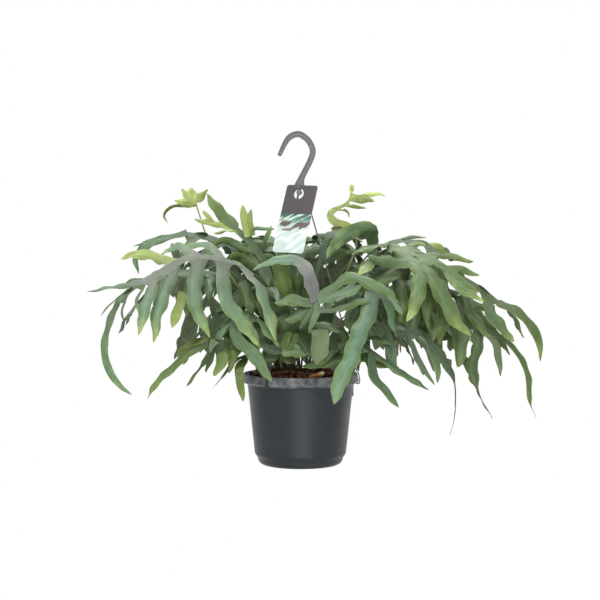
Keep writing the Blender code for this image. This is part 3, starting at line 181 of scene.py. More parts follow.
# Fronds placed one by one, in centimetres. Each has the midrib's points from the mix outwards, the share of
# that line that is bare stalk, a roll of the blade about it in degrees, and lobes as (width, points to the
# tip). "left" and "right" are seen from above, looking outwards; None grows a lobe by rule.
PLACED = (
    dict(stalk=0.47, roll=45, size=(8, 1.9), hang=0.5,
      rib=((-2.5, -1.5, 0), (-3.2, -3, 19.5), (-4.8, -5.2, 25.5), (-7.5, -7.2, 28.6), (-11.5, -9.5, 30.1),
        (-15.3, -11, 30.3), (-18.9, -12.5, 28.4), (-21.6, -14, 27)),
      left=((1.8, (-4.8, -9.5, 25.5), (-2.4, -10.5, 18.9)),
        (2.2, (-10.4, -12, 25.5), (-8.2, -13, 21.7), (-5.7, -13.2, 18.2)),
        (2.1, (-14.6, -13.5, 26), (-13.6, -14.3, 22.5), (-12.3, -14.6, 19.4)),
        (1.8, (-19.1, -14.8, 24), (-19.9, -15.5, 18.8)), (1.6, (-20.8, -16, 24), (-21.8, -17, 19.9))),
      right=(None, (1.8, (-12.8, -6, 32), (-16, -5, 31.9), (-19.4, -5, 31.2)), None,
        (1.5, (-20.6, -9, 30.6), (-23, -8.5, 30.8), (-25.1, -8.5, 30)),
        (1.1, (-23, -11, 28.8), (-25.5, -10.5, 28.3))),
      end=(1.2, (-25, -15, 26.4), (-28.8, -16, 25.7))),
    dict(stalk=0.6, roll=0, size=(6.5, 1.7), hang=0.7,
      rib=((1.6, -1.4, 0), (3.5, -3.5, 21), (6, -7.5, 26.2), (8.6, -11, 27.4), (9.8, -13.6, 25.9)),
      left=((1.8, (9, -7.5, 27.5), (12.5, -9, 25.5)), (1.8, (11.5, -11, 26.5), (14, -12.5, 22.5)),
        (1.5, (12, -13.5, 24), (12.9, -14.5, 20))),
      right=(None, (1.4, (6.5, -10.5, 26), (4.5, -11.5, 24.2)),
        (1.4, (7.8, -14, 25.2), (4.7, -14.4, 23.3), (2.3, -14.6, 23))),
      end=(2.4, (9.6, -15, 24), (8.6, -16, 21.5), (7.4, -16.6, 18.5), (5.9, -17, 15.2), (4.6, -17, 11))),
    dict(stalk=0.56, roll=-45, size=(7, 1.8), hang=0.5,
      rib=((2.6, -0.8, 0), (4.6, -2.2, 21), (7.8, -4, 27.5), (12, -6, 31.2), (15.6, -7.6, 31),
        (18.8, -9, 29.6), (21.5, -10, 27.8)),
      right=((2, (10.5, -8, 29.6), (8.8, -10, 26.5)), (2.2, (15.8, -10, 28.5), (15.6, -11.5, 26),
        (14.4, -12.2, 23.5), (13, -12.6, 21.3)), (2.4, (18, -11, 28), (19.8, -12, 25.3), (20.9, -12.6, 22.6),
        (23.4, -13, 19.6)), (1.6, (22.6, -11.5, 26), (25.2, -12, 24.2))),
      left=(None, (1, (16.5, -6, 32.2), (17.7, -6, 32)), (1.2, (20.5, -7.5, 30.6), (23.2, -7.5, 30)),
        (1.3, (22.7, -9, 28.6), (25, -8.5, 27.8))),
      end=(1.3, (23, -10.6, 26.8), (24.6, -11, 25.6))),
    dict(stalk=0.5, roll=0, size=(6, 1.6), hang=0.6,
      rib=((0.2, -1.2, 0), (0.4, -2.5, 21), (1, -5.5, 27), (1.4, -9, 28.8), (1.9, -12, 27.2),
        (2.2, -14, 24.5)),
      right=((1.5, (-2, -6, 28.5), (-5, -6.5, 27)), (1.5, (-1.4, -9, 30.1), (-5.3, -10, 29.2),
        (-6.8, -10.6, 28.2)), (1.2, (0.2, -11.8, 27.2), (-1.3, -12.6, 25.6)),
        (1.3, (0.8, -13.6, 25.4), (-1.1, -14.4, 23.6)), (1.4, (0.6, -14.6, 23.8), (-0.9, -15, 21.5))),
      left=(None, (1.5, (3, -10, 28.8), (3.5, -11, 26.6)), (1.5, (4.3, -11.5, 28.6), (7.6, -12, 28.6)),
        (1.6, (4.7, -13.5, 26.8), (8, -14, 27.8), (11.7, -14.5, 26), (13.5, -15, 24.1)),
        (1.2, (4.7, -15, 25.3), (8.1, -15.5, 26.8))),
      end=(1.5, (1.4, -15.6, 21.5), (1.1, -16, 19.6))),
    dict(stalk=0.48, roll=-50, size=(8, 1.8), hang=0.9,
      rib=((3.2, 0.4, 0), (7, 0, 22), (12.5, -1, 28), (18.5, -2.2, 29), (24, -3.4, 26.6), (28, -4.2, 23.8)),
      right=(None, None, (1.6, (20.5, -6, 25.5), (20.3, -8, 22), (18.2, -9, 18.4)),
        (1.7, (24, -6.5, 22.6), (26.9, -8, 18.8)), (2, (27.6, -6.5, 21.3), (30, -7.5, 18.3))),
      left=(None, None, None, (1.3, (27, -1.5, 27), (29.5, -1.5, 25)),
        (1.2, (30, -3.2, 22.4), (32, -3.4, 18.6))),
      end=(1.5, (31.2, -4.6, 22.2), (33.6, -5, 19.3), (34.1, -5.2, 15.4))),
    dict(stalk=0.45, roll=-45, size=(7, 1.6), hang=1,
      rib=((3, -1.4, 0), (8, -2, 19.5), (15, -3, 23.6), (21.5, -4, 22.8), (26.5, -4.8, 19.8)),
      right=(None, None, (1.3, (22, -6, 19.5), (22.4, -7, 15)),
        (1.3, (24.4, -6, 16.8), (23.4, -6.6, 13.8), (25.4, -7, 11.4))),
      left=(None, None, None, (1.1, (28, -4, 17.5), (28.5, -4.5, 13.2))),
      end=(1, (30.3, -5, 16.6), (32, -5, 13.4), (31.9, -5, 9.4), (33.8, -5, 6.8))),
    dict(stalk=0.5, roll=45, size=(5, 1.4), hang=0.6,
      rib=((-3, 1.2, 0), (-5.5, 0.8, 21), (-11, -1, 27.3), (-17.5, -3.5, 27.8), (-22.8, -5.5, 26.5),
        (-25.7, -6.8, 23.9)),
      left=(None, None, None, (1.2, (-23, -7.5, 24.4), (-22.6, -8.5, 22.4)),
        (1, (-25, -8.5, 23), (-24.6, -9, 21.2))),
      right=(None, None, None, None, (0.9, (-27.3, -6, 23.2), (-28.3, -6, 21.8))),
      end=(1.1, (-27, -8, 21.8), (-27.5, -8.5, 17.5), (-26.4, -8.5, 13.8), (-23.6, -8.3, 10.6))),
    dict(stalk=0.6, roll=0,
      rib=((-1.6, -2.6, 0), (-4, -5.4, 19), (-6.8, -8.6, 22.2), (-9, -10.8, 21.8)),
      left=((1.6, (-5, -10.5, 21), (-3, -11.5, 18)), (1.3, (-7, -12.6, 20.4), (-6.2, -13.4, 17.8))),
      right=((1.5, (-9.3, -7.5, 21.5), (-11.5, -7.5, 19)), (1.5, (-11.2, -10.2, 20), (-12.6, -10.4, 17))),
      end=(1.8, (-9, -11.8, 19.8), (-7.6, -12.2, 18), (-5.3, -12.4, 15.4), (-3.9, -12.6, 13.2))),
    dict(stalk=0.62, roll=50, size=(6, 1.5), hang=0.6,
      rib=((-2, 2.5, 0), (-4, 3, 22), (-8, 3, 30), (-12.5, 2.5, 32.6), (-17, 2, 33.5)),
      right=((1, (-13, 4, 35.2), (-14.2, 4, 36.7)), (1, (-14.8, 4, 34.8), (-15.7, 4, 35.6)),
        (0.8, (-20.5, 4, 33.2), (-24.7, 3.5, 31.6))),
      left=(None, None, None),
      end=(1, (-20, 2, 33), (-22.4, 1.5, 32), (-23.8, 1, 30), (-23, 0.5, 27.2))),
    dict(stalk=0.6, roll=70,
      rib=((-1.6, 0.3, 0), (-2.6, 0.3, 22), (-4.8, 0.2, 28.5), (-7, 0, 32), (-9.3, 0, 34.2)),
      right=((1.8, (-5.6, -1, 32.8), (-4.6, -1.6, 34.4), (-3.4, -2.2, 34)),
        (1.2, (-7, -0.8, 34.8), (-7.1, -1, 36.9)), (1.2, (-8.4, -0.4, 35.8), (-8.1, -0.4, 37.7))),
      left=((1.8, (-8.5, 0, 30.5), (-11.5, -1, 28.8)), (1.8, (-10.5, -0.5, 32.3), (-13.5, -1.5, 31)),
        (1.5, (-11.8, 0, 34.3), (-14.5, -0.5, 34.6))),
      end=(2, (-11, 0, 36), (-12.5, 0, 37.8), (-13.6, 0, 39.3))),
    dict(stalk=0.82, roll=90, wing=0.3,
      rib=((-1, 3.6, 0), (-5, 4.5, 23), (-10, 5, 30.5), (-14, 5, 34.4), (-15.2, 5, 37.2)),
      right=((1.1, (-13.8, 5, 37.8), (-13.2, 5.3, 38.8)), (1.3, (-14.2, 5.2, 39), (-13.7, 5.5, 40.1))),
      left=((0.7, (-17.6, 4, 38), (-19.6, 4, 37.2), (-20.3, 4, 36), (-19.3, 4, 34.8)),
        (1.3, (-17, 5, 38.2), (-18.8, 5, 38.7))),
      end=(1.4, (-16, 5, 38.9), (-17, 5, 40.3))),
    dict(stalk=0.76, roll=90, wing=0.3,
      rib=((1.8, 1.8, 0), (4, 2, 22), (7.2, 2, 30), (7.7, 2, 33.6), (6, 2, 35.2), (4.3, 2, 35.5),
        (4, 2, 36.6), (5.6, 2, 37.4), (6.9, 2, 38.4)),
      right=((0.7, (3.2, 2, 36.8), (3.3, 2, 37.6)), (0.8, (4.9, 2, 38.4), (5.6, 2, 39.2)),
        (1, (6.8, 2, 39.4), (7.2, 2, 40.6))),
      left=((0.8, (5.2, 1.8, 36), (6.8, 1.5, 35.7)), (0.9, (7, 1.8, 37.2), (9.3, 1.6, 37)),
        (0.9, (8.2, 2, 38), (10.7, 2, 37.9))),
      end=(1, (8.6, 2, 38.9), (12.3, 2.3, 38.9))),
    dict(stalk=0.5, roll=-25, size=(7, 1.7), hang=0.6,
      rib=((2.4, 1, 0), (5, 0.5, 22), (8.5, -0.5, 29), (12, -1.5, 32), (16, -2.5, 32.4), (20, -3.5, 31)),
      left=(None, (1.8, (10.2, -2.5, 33.9), (7.5, -3.5, 34), (5.2, -4, 32.2), (3.7, -5, 30)),
        (0.8, (16, -1, 33.2), (18.2, -0.5, 33)), None, None),
      right=(None, (2.2, (12.6, -5, 31), (10.8, -7.5, 29.6), (9, -8.5, 28)), None, None, None),
      end=(1.2, (22.5, -4, 30.2), (24.6, -4.5, 29.6))),
    dict(stalk=0.45, roll=-45, size=(8, 1.8), hang=1.1,
      rib=((2.8, 2.2, 0), (7, 1.5, 21), (14, 0.2, 26.2), (20, -1.6, 25.8), (24.6, -3, 22.8)),
      right=(None, None, None, None),
      left=(None, None, (1.4, (25.4, 0.5, 24.5), (28, 0.5, 22)), (1.4, (27, -1.8, 22.6), (29.4, -2, 19.8))),
      end=(1.5, (26.8, -3.6, 20), (29.2, -4, 15.6))),
    dict(stalk=0.45, roll=-45, size=(6.5, 1.6), hang=1.1,
      rib=((2.2, 3, 0), (7, 2.6, 19), (13, 1.5, 22.5), (18.4, 0, 21), (21.8, -1.2, 18.4)),
      right=(None, None, None),
      left=(None, None, None),
      end=(1.4, (23.8, -1.6, 15.6), (25.4, -2, 12))),
    dict(stalk=0.7, roll=60, size=(4.5, 1.5), hang=0.2,
      rib=((0.8, 3.4, 0), (1.4, 3.6, 22), (2.6, 3.8, 28), (4.2, 3.4, 31.4)),
      right=(None, None),
      left=(None, (1.5, (5.6, 3, 31.6), (7.4, 2.6, 31.2))),
      end=(1.6, (4.9, 3.3, 32.8), (5.3, 3.2, 34))),
    dict(stalk=0.4, roll=-40, size=(5, 1.5), hang=0.9,
      rib=((2.4, -2.2, 0), (6, -5, 18.6), (11, -8, 21), (15.8, -10, 20), (19, -11, 17.6)),
      right=((1.5, (9, -9, 18), (9.6, -10.5, 14.5)), (1.5, (12.3, -10, 18), (13.2, -11.5, 14.5)),
        (1.2, (16.6, -12, 15.6), (18.4, -13, 12.8)), (1, (18.3, -12.5, 15), (18, -13, 13))),
      left=(None, None, (1.2, (18.3, -8.5, 17.5), (19.5, -8.5, 14.5)),
        (1.2, (20.2, -10, 16.5), (20.8, -10.2, 14))),
      end=(0.8, (21, -11.6, 14), (21.4, -12, 9.5), (20.6, -12, 5.8))),
    dict(stalk=0.5, roll=0,
      rib=((1.8, -3, 0), (4.6, -6.8, 17.8), (7.8, -9.8, 18.8), (9.8, -11.6, 17.2)),
      right=((1.4, (4.2, -10, 17.2), (2.6, -11, 15.4)), (1.3, (7, -13, 15.8), (6.6, -13.6, 13.2))),
      left=((1.3, (10.5, -9, 17.8), (12.8, -9, 16.2)), (1.4, (13, -12, 15.3), (17.6, -13.4, 12.2))),
      end=(1.5, (10.2, -13, 14), (13.4, -14.4, 9.9))),
    dict(stalk=0.55, roll=0, size=(4, 1.3), hang=0.6,
      rib=((0.4, -2.8, 0), (1.2, -4.2, 17), (2.2, -5.8, 19.6), (2.7, -7.2, 19.9)),
      right=((1.2, (0, -6, 18.6), (-2.2, -6.6, 17)), None),
      left=((1.2, (3.6, -6, 19.6), (5.2, -6.6, 18.9)), (1.2, (4.3, -8, 19), (5.4, -8.5, 16.5))),
      end=(2.4, (2.6, -8.6, 18.2), (1.6, -9.2, 15.4))),
    dict(stalk=0.5, roll=40, size=(5, 1.4), hang=0.8,
      rib=((-3, -1.8, 0), (-6, -3.8, 18.4), (-10, -5.8, 19.6), (-13, -7.2, 18)),
      left=((1.5, (-7.8, -8.5, 18), (-8.8, -10, 15.4)), (1.4, (-10.8, -8.8, 17), (-12, -9.8, 13)),
        (1.3, (-13.6, -9.4, 15.6), (-15.8, -10, 12.2))),
      right=(None, (1.6, (-13.4, -5, 19), (-16.4, -5.4, 16.4)), (1.5, (-15.8, -6.4, 18), (-17.6, -6.6, 15))),
      end=(1.2, (-15.6, -8, 16.9), (-18.2, -9, 14.8), (-20.4, -9.5, 12.4), (-21.4, -10, 10.4))),
    dict(stalk=0.5, roll=0, size=(3.5, 1.2), hang=0.9,
      rib=((-3.2, -2.6, 0), (-5.6, -4.6, 16.2), (-8.4, -6.6, 16), (-10.2, -7.8, 14.2)),
      left=((1.3, (-7.3, -8.6, 14.6), (-8, -9.6, 10.6)), (1, (-9.4, -9.5, 13), (-9.9, -9.8, 11.4))),
      right=((1.2, (-9.6, -5.4, 15.4), (-11, -5.6, 13.6)), None),
      end=(1, (-11.4, -8.6, 13), (-12.2, -9, 12))),
)

# Fronds grown by rule: compass direction in degrees from +X, how far out the tip reaches, the height of the
# top of the arch and of the end of the midrib, pairs of lobes, and the lobes' length, width and hang
ARCHING = (
    (18, 27, 29, 21, 5, 8, 1.8, 0.8),
    (38, 25, 32, 25, 5, 8, 1.9, 0.6),
    (57, 26, 29, 19, 5, 8, 1.8, 0.8),
    (76, 23, 33, 27, 5, 7.5, 1.8, 0.5),
    (95, 26, 30, 20, 5, 8, 1.9, 0.8),
    (114, 23, 33, 26, 5, 7.5, 1.8, 0.6),
    (133, 26, 29, 19, 5, 8, 1.8, 0.8),
    (150, 24, 32, 26, 5, 7.5, 1.8, 0.5),
    (168, 25, 30, 23, 5, 7, 1.7, 0.6),
    (30, 19, 23, 16, 4, 6, 1.5, 0.9),
    (66, 18, 21, 12, 4, 6, 1.5, 0.9),
    (102, 19, 22, 13, 4, 6, 1.5, 0.9),
    (142, 16, 22, 16, 4, 5.5, 1.5, 0.7),
    (182, 15, 22, 18, 4, 5.5, 1.5, 0.6),
    (48, 12, 34, 33, 3, 5.5, 1.5, 0.3),
    (128, 12, 33, 32, 3, 5.5, 1.5, 0.3),
    (85, 9, 32, 33, 3, 5, 1.5, 0.2),
    (203, 14, 25, 21, 4, 6, 1.6, 0.7),
    (226, 11, 26, 24, 4, 5.5, 1.6, 0.6),
    (252, 11, 25, 21, 4, 5.5, 1.6, 0.7),
    (276, 11, 22, 17, 3, 5, 1.5, 0.8),
    (300, 11, 25, 21, 4, 5.5, 1.6, 0.7),
    (322, 13, 26, 22, 4, 6, 1.6, 0.7),
    (343, 15, 25, 19, 4, 6, 1.6, 0.8),
)


def smooth_path(points, count):
    """Evenly spaced points along the smooth Catmull-Rom curve through the given ones."""
    p = np.asarray(points, float)
    p = np.vstack([2 * p[0] - p[1], p, 2 * p[-1] - p[-2]])
    t = np.linspace(0, 1, CURVE_STEPS, endpoint=False)[:, None]
    pieces = [
        b + 0.5 * ((c - a) * t + (2 * a - 5 * b + 4 * c - d) * t**2 + (3 * b - a - 3 * c + d) * t**3)
        for a, b, c, d in zip(p, p[1:], p[2:], p[3:])
    ]
    dense = np.vstack(pieces + [p[-2:-1]])
    run = np.append(0, np.cumsum(np.linalg.norm(np.diff(dense, axis=0), axis=1)))
    even = np.linspace(0, run[-1], count)
    return np.column_stack([np.interp(even, run, dense[:, axis]) for axis in range(3)])


def unit(vectors):
    """Vectors scaled to length one, along the last axis."""
    return vectors / np.linalg.norm(vectors, axis=-1, keepdims=True)


def carried_across(centre, first):
    """Directions across a line, carried along it from the first with no needless twist."""
    ahead = unit(np.gradient(centre, axis=0))
    across = [first]
    for direction in ahead:
        last = across[-1]
        across.append(unit(last - np.dot(last, direction) * direction))
    return ahead, np.array(across[1:])


def ramp(value, span, start=0):
    """Nought up to the start, then rising evenly to one over the span."""
    return np.clip((value - start) / span, 0, 1)


def at_shares(values, shares):
    """Rows of an evenly spaced table read at shares of its length."""
    places = np.linspace(0, 1, len(values))
    return np.column_stack([np.interp(shares, places, values[:, axis]) for axis in range(3)])


def mix_height(x, y):
    """Height of the potting mix at a place, in metres."""
    return MIX_TOP - MIX_DROP * (x * x + y * y) / (WALL_TOP_RADIUS**2)


def tag_matrix():
    """Where the tag hangs: turned about the vertical and leaning forward on the strands."""
    place = Matrix.Translation(TAG_TOP)
    turn = Matrix.Rotation(math.radians(-TAG_TURN), 4, "Z")
    lean = Matrix.Rotation(math.radians(-TAG_LEAN), 4, "X")
    return place @ turn @ lean @ Matrix.Rotation(math.pi / 2, 4, "X")


class Ground:
    """Everything already grown or built, kept to test a new lobe against."""

    def __init__(self):
        self.low, self.high, self.trees, self.owners = [], [], [], []

    def add(self, points, faces, owner):
        """Remember one closed shape and the frond that it belongs to."""
        self.low.append(points.min(axis=0))
        self.high.append(points.max(axis=0))
        self.trees.append(BVHTree.FromPolygons(points.tolist(), faces))
        self.owners.append(owner)

    def touches(self, points, faces, owner=None):
        """Whether a closed shape meets anything here that the given frond doesn't own."""
        low, high = points.min(axis=0), points.max(axis=0)
        near = (np.array(self.low) <= high).all(axis=1) & (np.array(self.high) >= low).all(axis=1)
        tree = None
        for i in np.flatnonzero(near):
            if owner is not None and self.owners[i] == owner:
                continue
            tree = tree or BVHTree.FromPolygons(points.tolist(), faces)
            if tree.overlap(self.trees[i]):
                return True
        return False


def thick_strip(left, right, half):
    """A closed strip between two lines of points, this much thick on each side."""
    ahead = np.gradient((left + right) / 2, axis=0)
    normal = unit(np.cross(right - left, ahead)) * np.reshape(half, (-1, 1))
    outwards = unit(right - left) * np.reshape(half, (-1, 1))
    left, right = left - outwards, right + outwards
    rows = np.stack([left + normal, right + normal, right - normal, left - normal], axis=1)
    count = len(rows)
    faces = [(0, 1, 2, 3), tuple(4 * (count - 1) + i for i in (3, 2, 1, 0))]
    for row, i in itertools.product(range(count - 1), range(4)):
        j = (i + 1) % 4
        faces.append((4 * row + i, 4 * row + j, 4 * row + 4 + j, 4 * row + 4 + i))
    return rows.reshape(-1, 3), faces


def rib_frame(points, roll):
    """The midrib as evenly spaced points with the directions ahead and across at each."""
    centre = smooth_path(points, RIB_POINTS)
    outwards = points[-1] - points[0]
    first = unit(np.cross([outwards[0], outwards[1], 0.001], UP))
    ahead, across = carried_across(centre, first)
    turn = math.radians(roll) * np.clip(np.linspace(-0.6, 1.4, len(centre)), 0, 1)[:, None]
    across = np.cos(turn) * across + np.sin(turn) * np.cross(across, ahead)
    return centre, ahead, across


def rib_shares(frond):
    """Shares of the midrib's length at the stalk's stations and at the ends of the lobes' roots."""
    stalk = np.linspace(0, frond["stalk"], STALK_STATIONS)
    blade = np.linspace(frond["stalk"], 1, len(frond["left"]) + 1)
    return np.append(stalk[:-1], blade)


def wing_widths(frond, count):
    """Half the width of the winged midrib at each of its stations, narrower at both ends."""
    full = frond.get("wing", 1) * WING_HALF_WIDTH
    wing = np.full(count, full)
    wing[0] = (full + STALK_HALF_WIDTH) / 2
    wing[-1] = 0.7 * full
    return wing


def rib_strip(frond, frame):
    """The two edges of the stalk and winged midrib, and half the thickness at each station."""
    centre, _, across = frame
    shares = rib_shares(frond)
    wing = np.append(np.full(BLADE_START, STALK_HALF_WIDTH), wing_widths(frond, len(shares) - BLADE_START))
    half = np.where(np.arange(len(shares)) < BLADE_START, STALK_THICKNESS / 2, BLADE_THICKNESS / 2)
    middle = at_shares(centre, shares)
    side = unit(at_shares(across, shares)) * wing[:, None]
    return middle - side, middle + side, half


def turned_points(points, pivot, axis, angle):
    """Points turned about an axis through a pivot."""
    arm = points - pivot
    along = np.outer(arm @ axis, axis)
    return pivot + along + (arm - along) * math.cos(angle) + np.cross(axis, arm) * math.sin(angle)


def turned_to_light(centre, ahead, across, face):
    """Directions across a lobe, turned more towards its tip until its upper side looks outwards."""
    if face is None:
        face = unit(centre[-1] * (1, 1, 0)) * LIGHT_OUT + UP * LIGHT_UP
    wanted = np.cross(ahead, face)
    wanted *= np.sign(np.einsum("ij,ij->i", wanted, across) + 1e-9)[:, None]
    return unit(across + LIGHT_TURN * np.linspace(0, 1, len(centre))[:, None] * wanted)


def lobe_edges(near, far, points, width, face):
    """The two edges of a lobe from its root, near and far, to its blunt tip."""
    rows = max(3, len(points) + 1)
    root = (near + far) / 2
    centre = smooth_path(np.vstack([root, points]), LOBE_POINTS)
    ahead, across = carried_across(centre, unit(far - near))
    across = turned_to_light(centre, ahead, across, face)
    shares = np.linspace(0, 1, rows + 1)[1:]
    shape = np.interp(shares, (0, 0.3, 0.6, 0.85, 1), (0.9, 0.95, 1, 0.75, 0.28))
    middle = at_shares(centre, shares)
    side = unit(at_shares(across, shares)) * (shape * width / 2)[:, None]
    return np.vstack([near, middle - side]), np.vstack([far, middle + side])


def nudges():
    """Small changes to a lobe, gentlest first: its lift and swing in radians, and its length."""
    lifts = (0, 0.14, -0.14, 0.28, -0.28, 0.45, -0.45, 0.65, -0.65)
    swings = (0, 0.14, -0.14, 0.28, -0.28, 0.45, -0.45)
    lengths = (1, 0.9, 0.78, 0.62)
    every = itertools.product(lifts, swings, lengths)
    return sorted(every, key=lambda n: abs(n[0]) + abs(n[1]) + 1.6 * (1 - n[2]))


NUDGES = nudges()


def lobe_by_rule(frond, frame, share, side, random):
    """A lobe's width and points where none is given: it leaves the midrib forwards and hangs."""
    centre, ahead, across = (at_shares(table, [share])[0] for table in frame)
    length, width = frond["size"]
    along = (share - frond["stalk"]) / (1 - frond["stalk"])
    length = length * CM * (0.72 + 0.38 * math.sin(math.pi * min(along + 0.15, 1)))
    length *= random.uniform(0.85, 1.1)
    sweep = 0.25 + 0.5 * along + random.uniform(-0.12, 0.12)
    hang = frond["hang"] + random.uniform(-0.2, 0.2)
    out = side * across * math.cos(sweep) + ahead * math.sin(sweep)
    points = [centre + length * part * (out * math.cos(hang * part) - UP * math.sin(hang * part))
              for part in (0.5, 1)]
    return width * CM * random.uniform(0.88, 1.1), np.array(points)


def given_lobe(lobe):
    """A placed lobe's width and points in metres."""
    return lobe[0] * CM, np.array(lobe[1:]) * CM


def fitted_lobe(ground, owner, near, far, width, points, face):
    """The lobe's points and edges after the gentlest nudge that keeps it clear of everything, or None."""
    root = (near + far) / 2
    lift_axis = unit(far - near)
    swing_axis = unit(np.cross(lift_axis, points[-1] - root))
    half = BLADE_THICKNESS / 2 + CLEARANCE
    for lift, swing, length in NUDGES:
        moved = turned_points(points, root, lift_axis, lift)
        moved = root + length * (turned_points(moved, root, swing_axis, swing) - root)
        left, right = lobe_edges(near, far, moved, width, face)
        if ground.touches(*thick_strip(left, right, half), owner):
            continue
        outer = thick_strip(left[1:], right[1:], half)
        if ground.touches(*outer):
            continue
        return moved, (left, right)
    return None


def sway(points, turn, shift):
    """A midrib turned about the vertical through its foot and shifted sideways at its foot."""
    foot = points[0]
    swayed = turned_points(points, foot, UP, turn)
    fade = np.linspace(1, 0.4, len(points))[:, None]
    return swayed + fade * np.array([*shift, 0])


def sways():
    """Small changes to a midrib, gentlest first: a turn in radians and a shift of the foot in metres."""
    turns = (0, 0.05, -0.05, 0.1, -0.1, 0.17, -0.17)
    steps = (0, 0.004, -0.004, 0.008, -0.008, 0.013, -0.013)
    every = itertools.product(turns, steps, steps)
    return sorted(every, key=lambda n: abs(n[0]) * 0.08 + math.hypot(n[1], n[2]))


SWAYS = sways()


def grown_rib(ground, frond, owner):
    """The frond's midrib frame and strip, swayed until its stalk is clear of everything."""
    points = np.array(frond["rib"], float) * CM
    for turn, *shift in SWAYS:
        tried = sway(points, turn, shift)
        x, y = tried[0][:2]
        tried[0][2] = mix_height(x, y) + FOOT_LIFT
        frame = rib_frame(tried, frond["roll"])
        left, right, half = rib_strip(frond, frame)
        shape = thick_strip(left, right, half + CLEARANCE)
        if not ground.touches(*shape):
            ground.add(*shape, owner)
            return frame, (left, right)
    return None


def arching_frond(row):
    """A frond that leaves the middle in one direction, arches over and comes down."""
    compass, reach, top, low, pairs, length, width, hang = row
    x, y = math.cos(math.radians(compass)), math.sin(math.radians(compass))
    rise = top - ARCH_FOOT
    arch = (
        (STALK_RING, ARCH_FOOT),
        (0.2 * reach, ARCH_FOOT + 0.45 * rise),
        (0.42 * reach, ARCH_FOOT + 0.88 * rise),
        (0.64 * reach, top),
        (0.84 * reach, (top + low) / 2 + 0.6),
        (reach, low),
    )
    rib = tuple((x * out, y * out, z) for out, z in arch)
    lobes = dict(size=(length, width), hang=hang, left=(None,) * pairs, right=(None,) * pairs, end=None)
    return dict(rib=rib, stalk=BLADE_SHARE, roll=0, **lobes)


def rounded(profile, reach, steps=4):
    """A line of (radius, z) whose inner corners are replaced by short quadratic curves of this reach."""
    p = np.asarray(profile, float)
    before, corner, after = p[:-2], p[1:-1], p[2:]
    back, on = before - corner, after - corner
    back_length = np.linalg.norm(back, axis=1, keepdims=True)
    on_length = np.linalg.norm(on, axis=1, keepdims=True)
    start = corner + back / back_length * np.minimum(reach, 0.45 * back_length)
    end = corner + on / on_length * np.minimum(reach, 0.45 * on_length)
    t = np.linspace(0, 1, steps + 1)[None, :, None]
    curves = (1 - t) ** 2 * start[:, None] + 2 * t * (1 - t) * corner[:, None] + t**2 * end[:, None]
    return np.vstack([p[:1], curves.reshape(-1, 2), p[-1:]])


def patch(points, uv=None, tint=(0, 0, 0, 0), slot=0, flip=False):
    """One grid of a surface: points by row and column, with its flat coordinates and its tint."""
    rows, columns = points.shape[:2]
    if uv is None:
        down, along = np.meshgrid(np.linspace(0, 1, rows), np.linspace(0, 1, columns), indexing="ij")
        uv = np.stack([along, down], axis=-1)
    tint = np.broadcast_to(np.asarray(tint, float), (rows, columns, 4))
    return dict(points=points, uv=uv, tint=tint, slot=slot, flip=flip)


def grid_corners(rows, columns, flip):
    """The four corner numbers of every cell of a grid, turned over where asked."""
    low = (np.arange(rows - 1)[:, None] * columns + np.arange(columns - 1)[None]).reshape(-1)
    corners = np.stack([low, low + 1, low + columns + 1, low + columns], axis=1)
    return corners[:, ::-1] if flip else corners


def mesh_of(name, patches, weld=2 * WELD):
    """One mesh from several grids, with flat coordinates and tint at each corner, seams and poles closed."""
    corners, slots, start = [], [], 0
    for one in patches:
        rows, columns = one["points"].shape[:2]
        cells = grid_corners(rows, columns, one["flip"])
        corners.append(cells + start)
        slots.append(np.full(len(cells), one["slot"]))
        start += rows * columns
    corners = np.vstack(corners)
    points, flat, tint = (np.vstack([one[key].reshape(-1, size) for one in patches])
                          for key, size in (("points", 3), ("uv", 2), ("tint", 4)))
    mesh = bpy.data.meshes.new(name)
    mesh.from_pydata(points, [], corners)
    at = corners.reshape(-1)
    mesh.uv_layers.new(name="surface").data.foreach_set("uv", flat[at].reshape(-1))
    layer = mesh.color_attributes.new("tint", "FLOAT_COLOR", "CORNER")
    layer.data.foreach_set("color", tint[at].reshape(-1))
    mesh.polygons.foreach_set("material_index", np.concatenate(slots))
    mesh.polygons.foreach_set("use_smooth", np.ones(len(corners), bool))
    shape = bmesh.new()
    shape.from_mesh(mesh)
    bmesh.ops.remove_doubles(shape, verts=shape.verts, dist=weld)
    bmesh.ops.dissolve_degenerate(shape, edges=shape.edges, dist=1e-7)
    shape.to_mesh(mesh)
    shape.free()
    return mesh


def linked(name, data):
    """A new object that holds this data, put in the scene."""
    obj = bpy.data.objects.new(name, data)
    bpy.context.scene.collection.objects.link(obj)
    return obj


def add_piece(name, mesh, looks, nodes=()):
    """An object for this mesh that rides on the plant and stands for the named solids."""
    obj = linked(name, mesh)
    for look in looks:
        mesh.materials.append(look)
    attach(obj, "root")
    if nodes:
        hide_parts(*nodes)
    return obj


def join(first, second):
    """The second piece made part of the first."""
    with bpy.context.temp_override(active_object=first, selected_editable_objects=[first, second]):
        bpy.ops.object.join()


def apply_modifiers(obj):
    """A piece's modifiers made part of its mesh."""
    graph = bpy.context.evaluated_depsgraph_get()
    made = bpy.data.meshes.new_from_object(obj.evaluated_get(graph))
    old = obj.data
    obj.modifiers.clear()
    obj.data = made
    bpy.data.meshes.remove(old)


def turned(profile, steps, ripple=None):
    """A profile of (radius, z) carried round the z axis: x = r cos(a), y = r sin(a), r plus a ripple."""
    angle = np.linspace(0, 2 * math.pi, steps + 1)[None]
    r, z = (np.asarray(profile, float)[:, i, None] for i in (0, 1))
    r = r + 0 * angle if ripple is None else r + ripple(angle, z, r)
    return np.stack([r * np.cos(angle), r * np.sin(angle), z + 0 * angle], axis=-1)


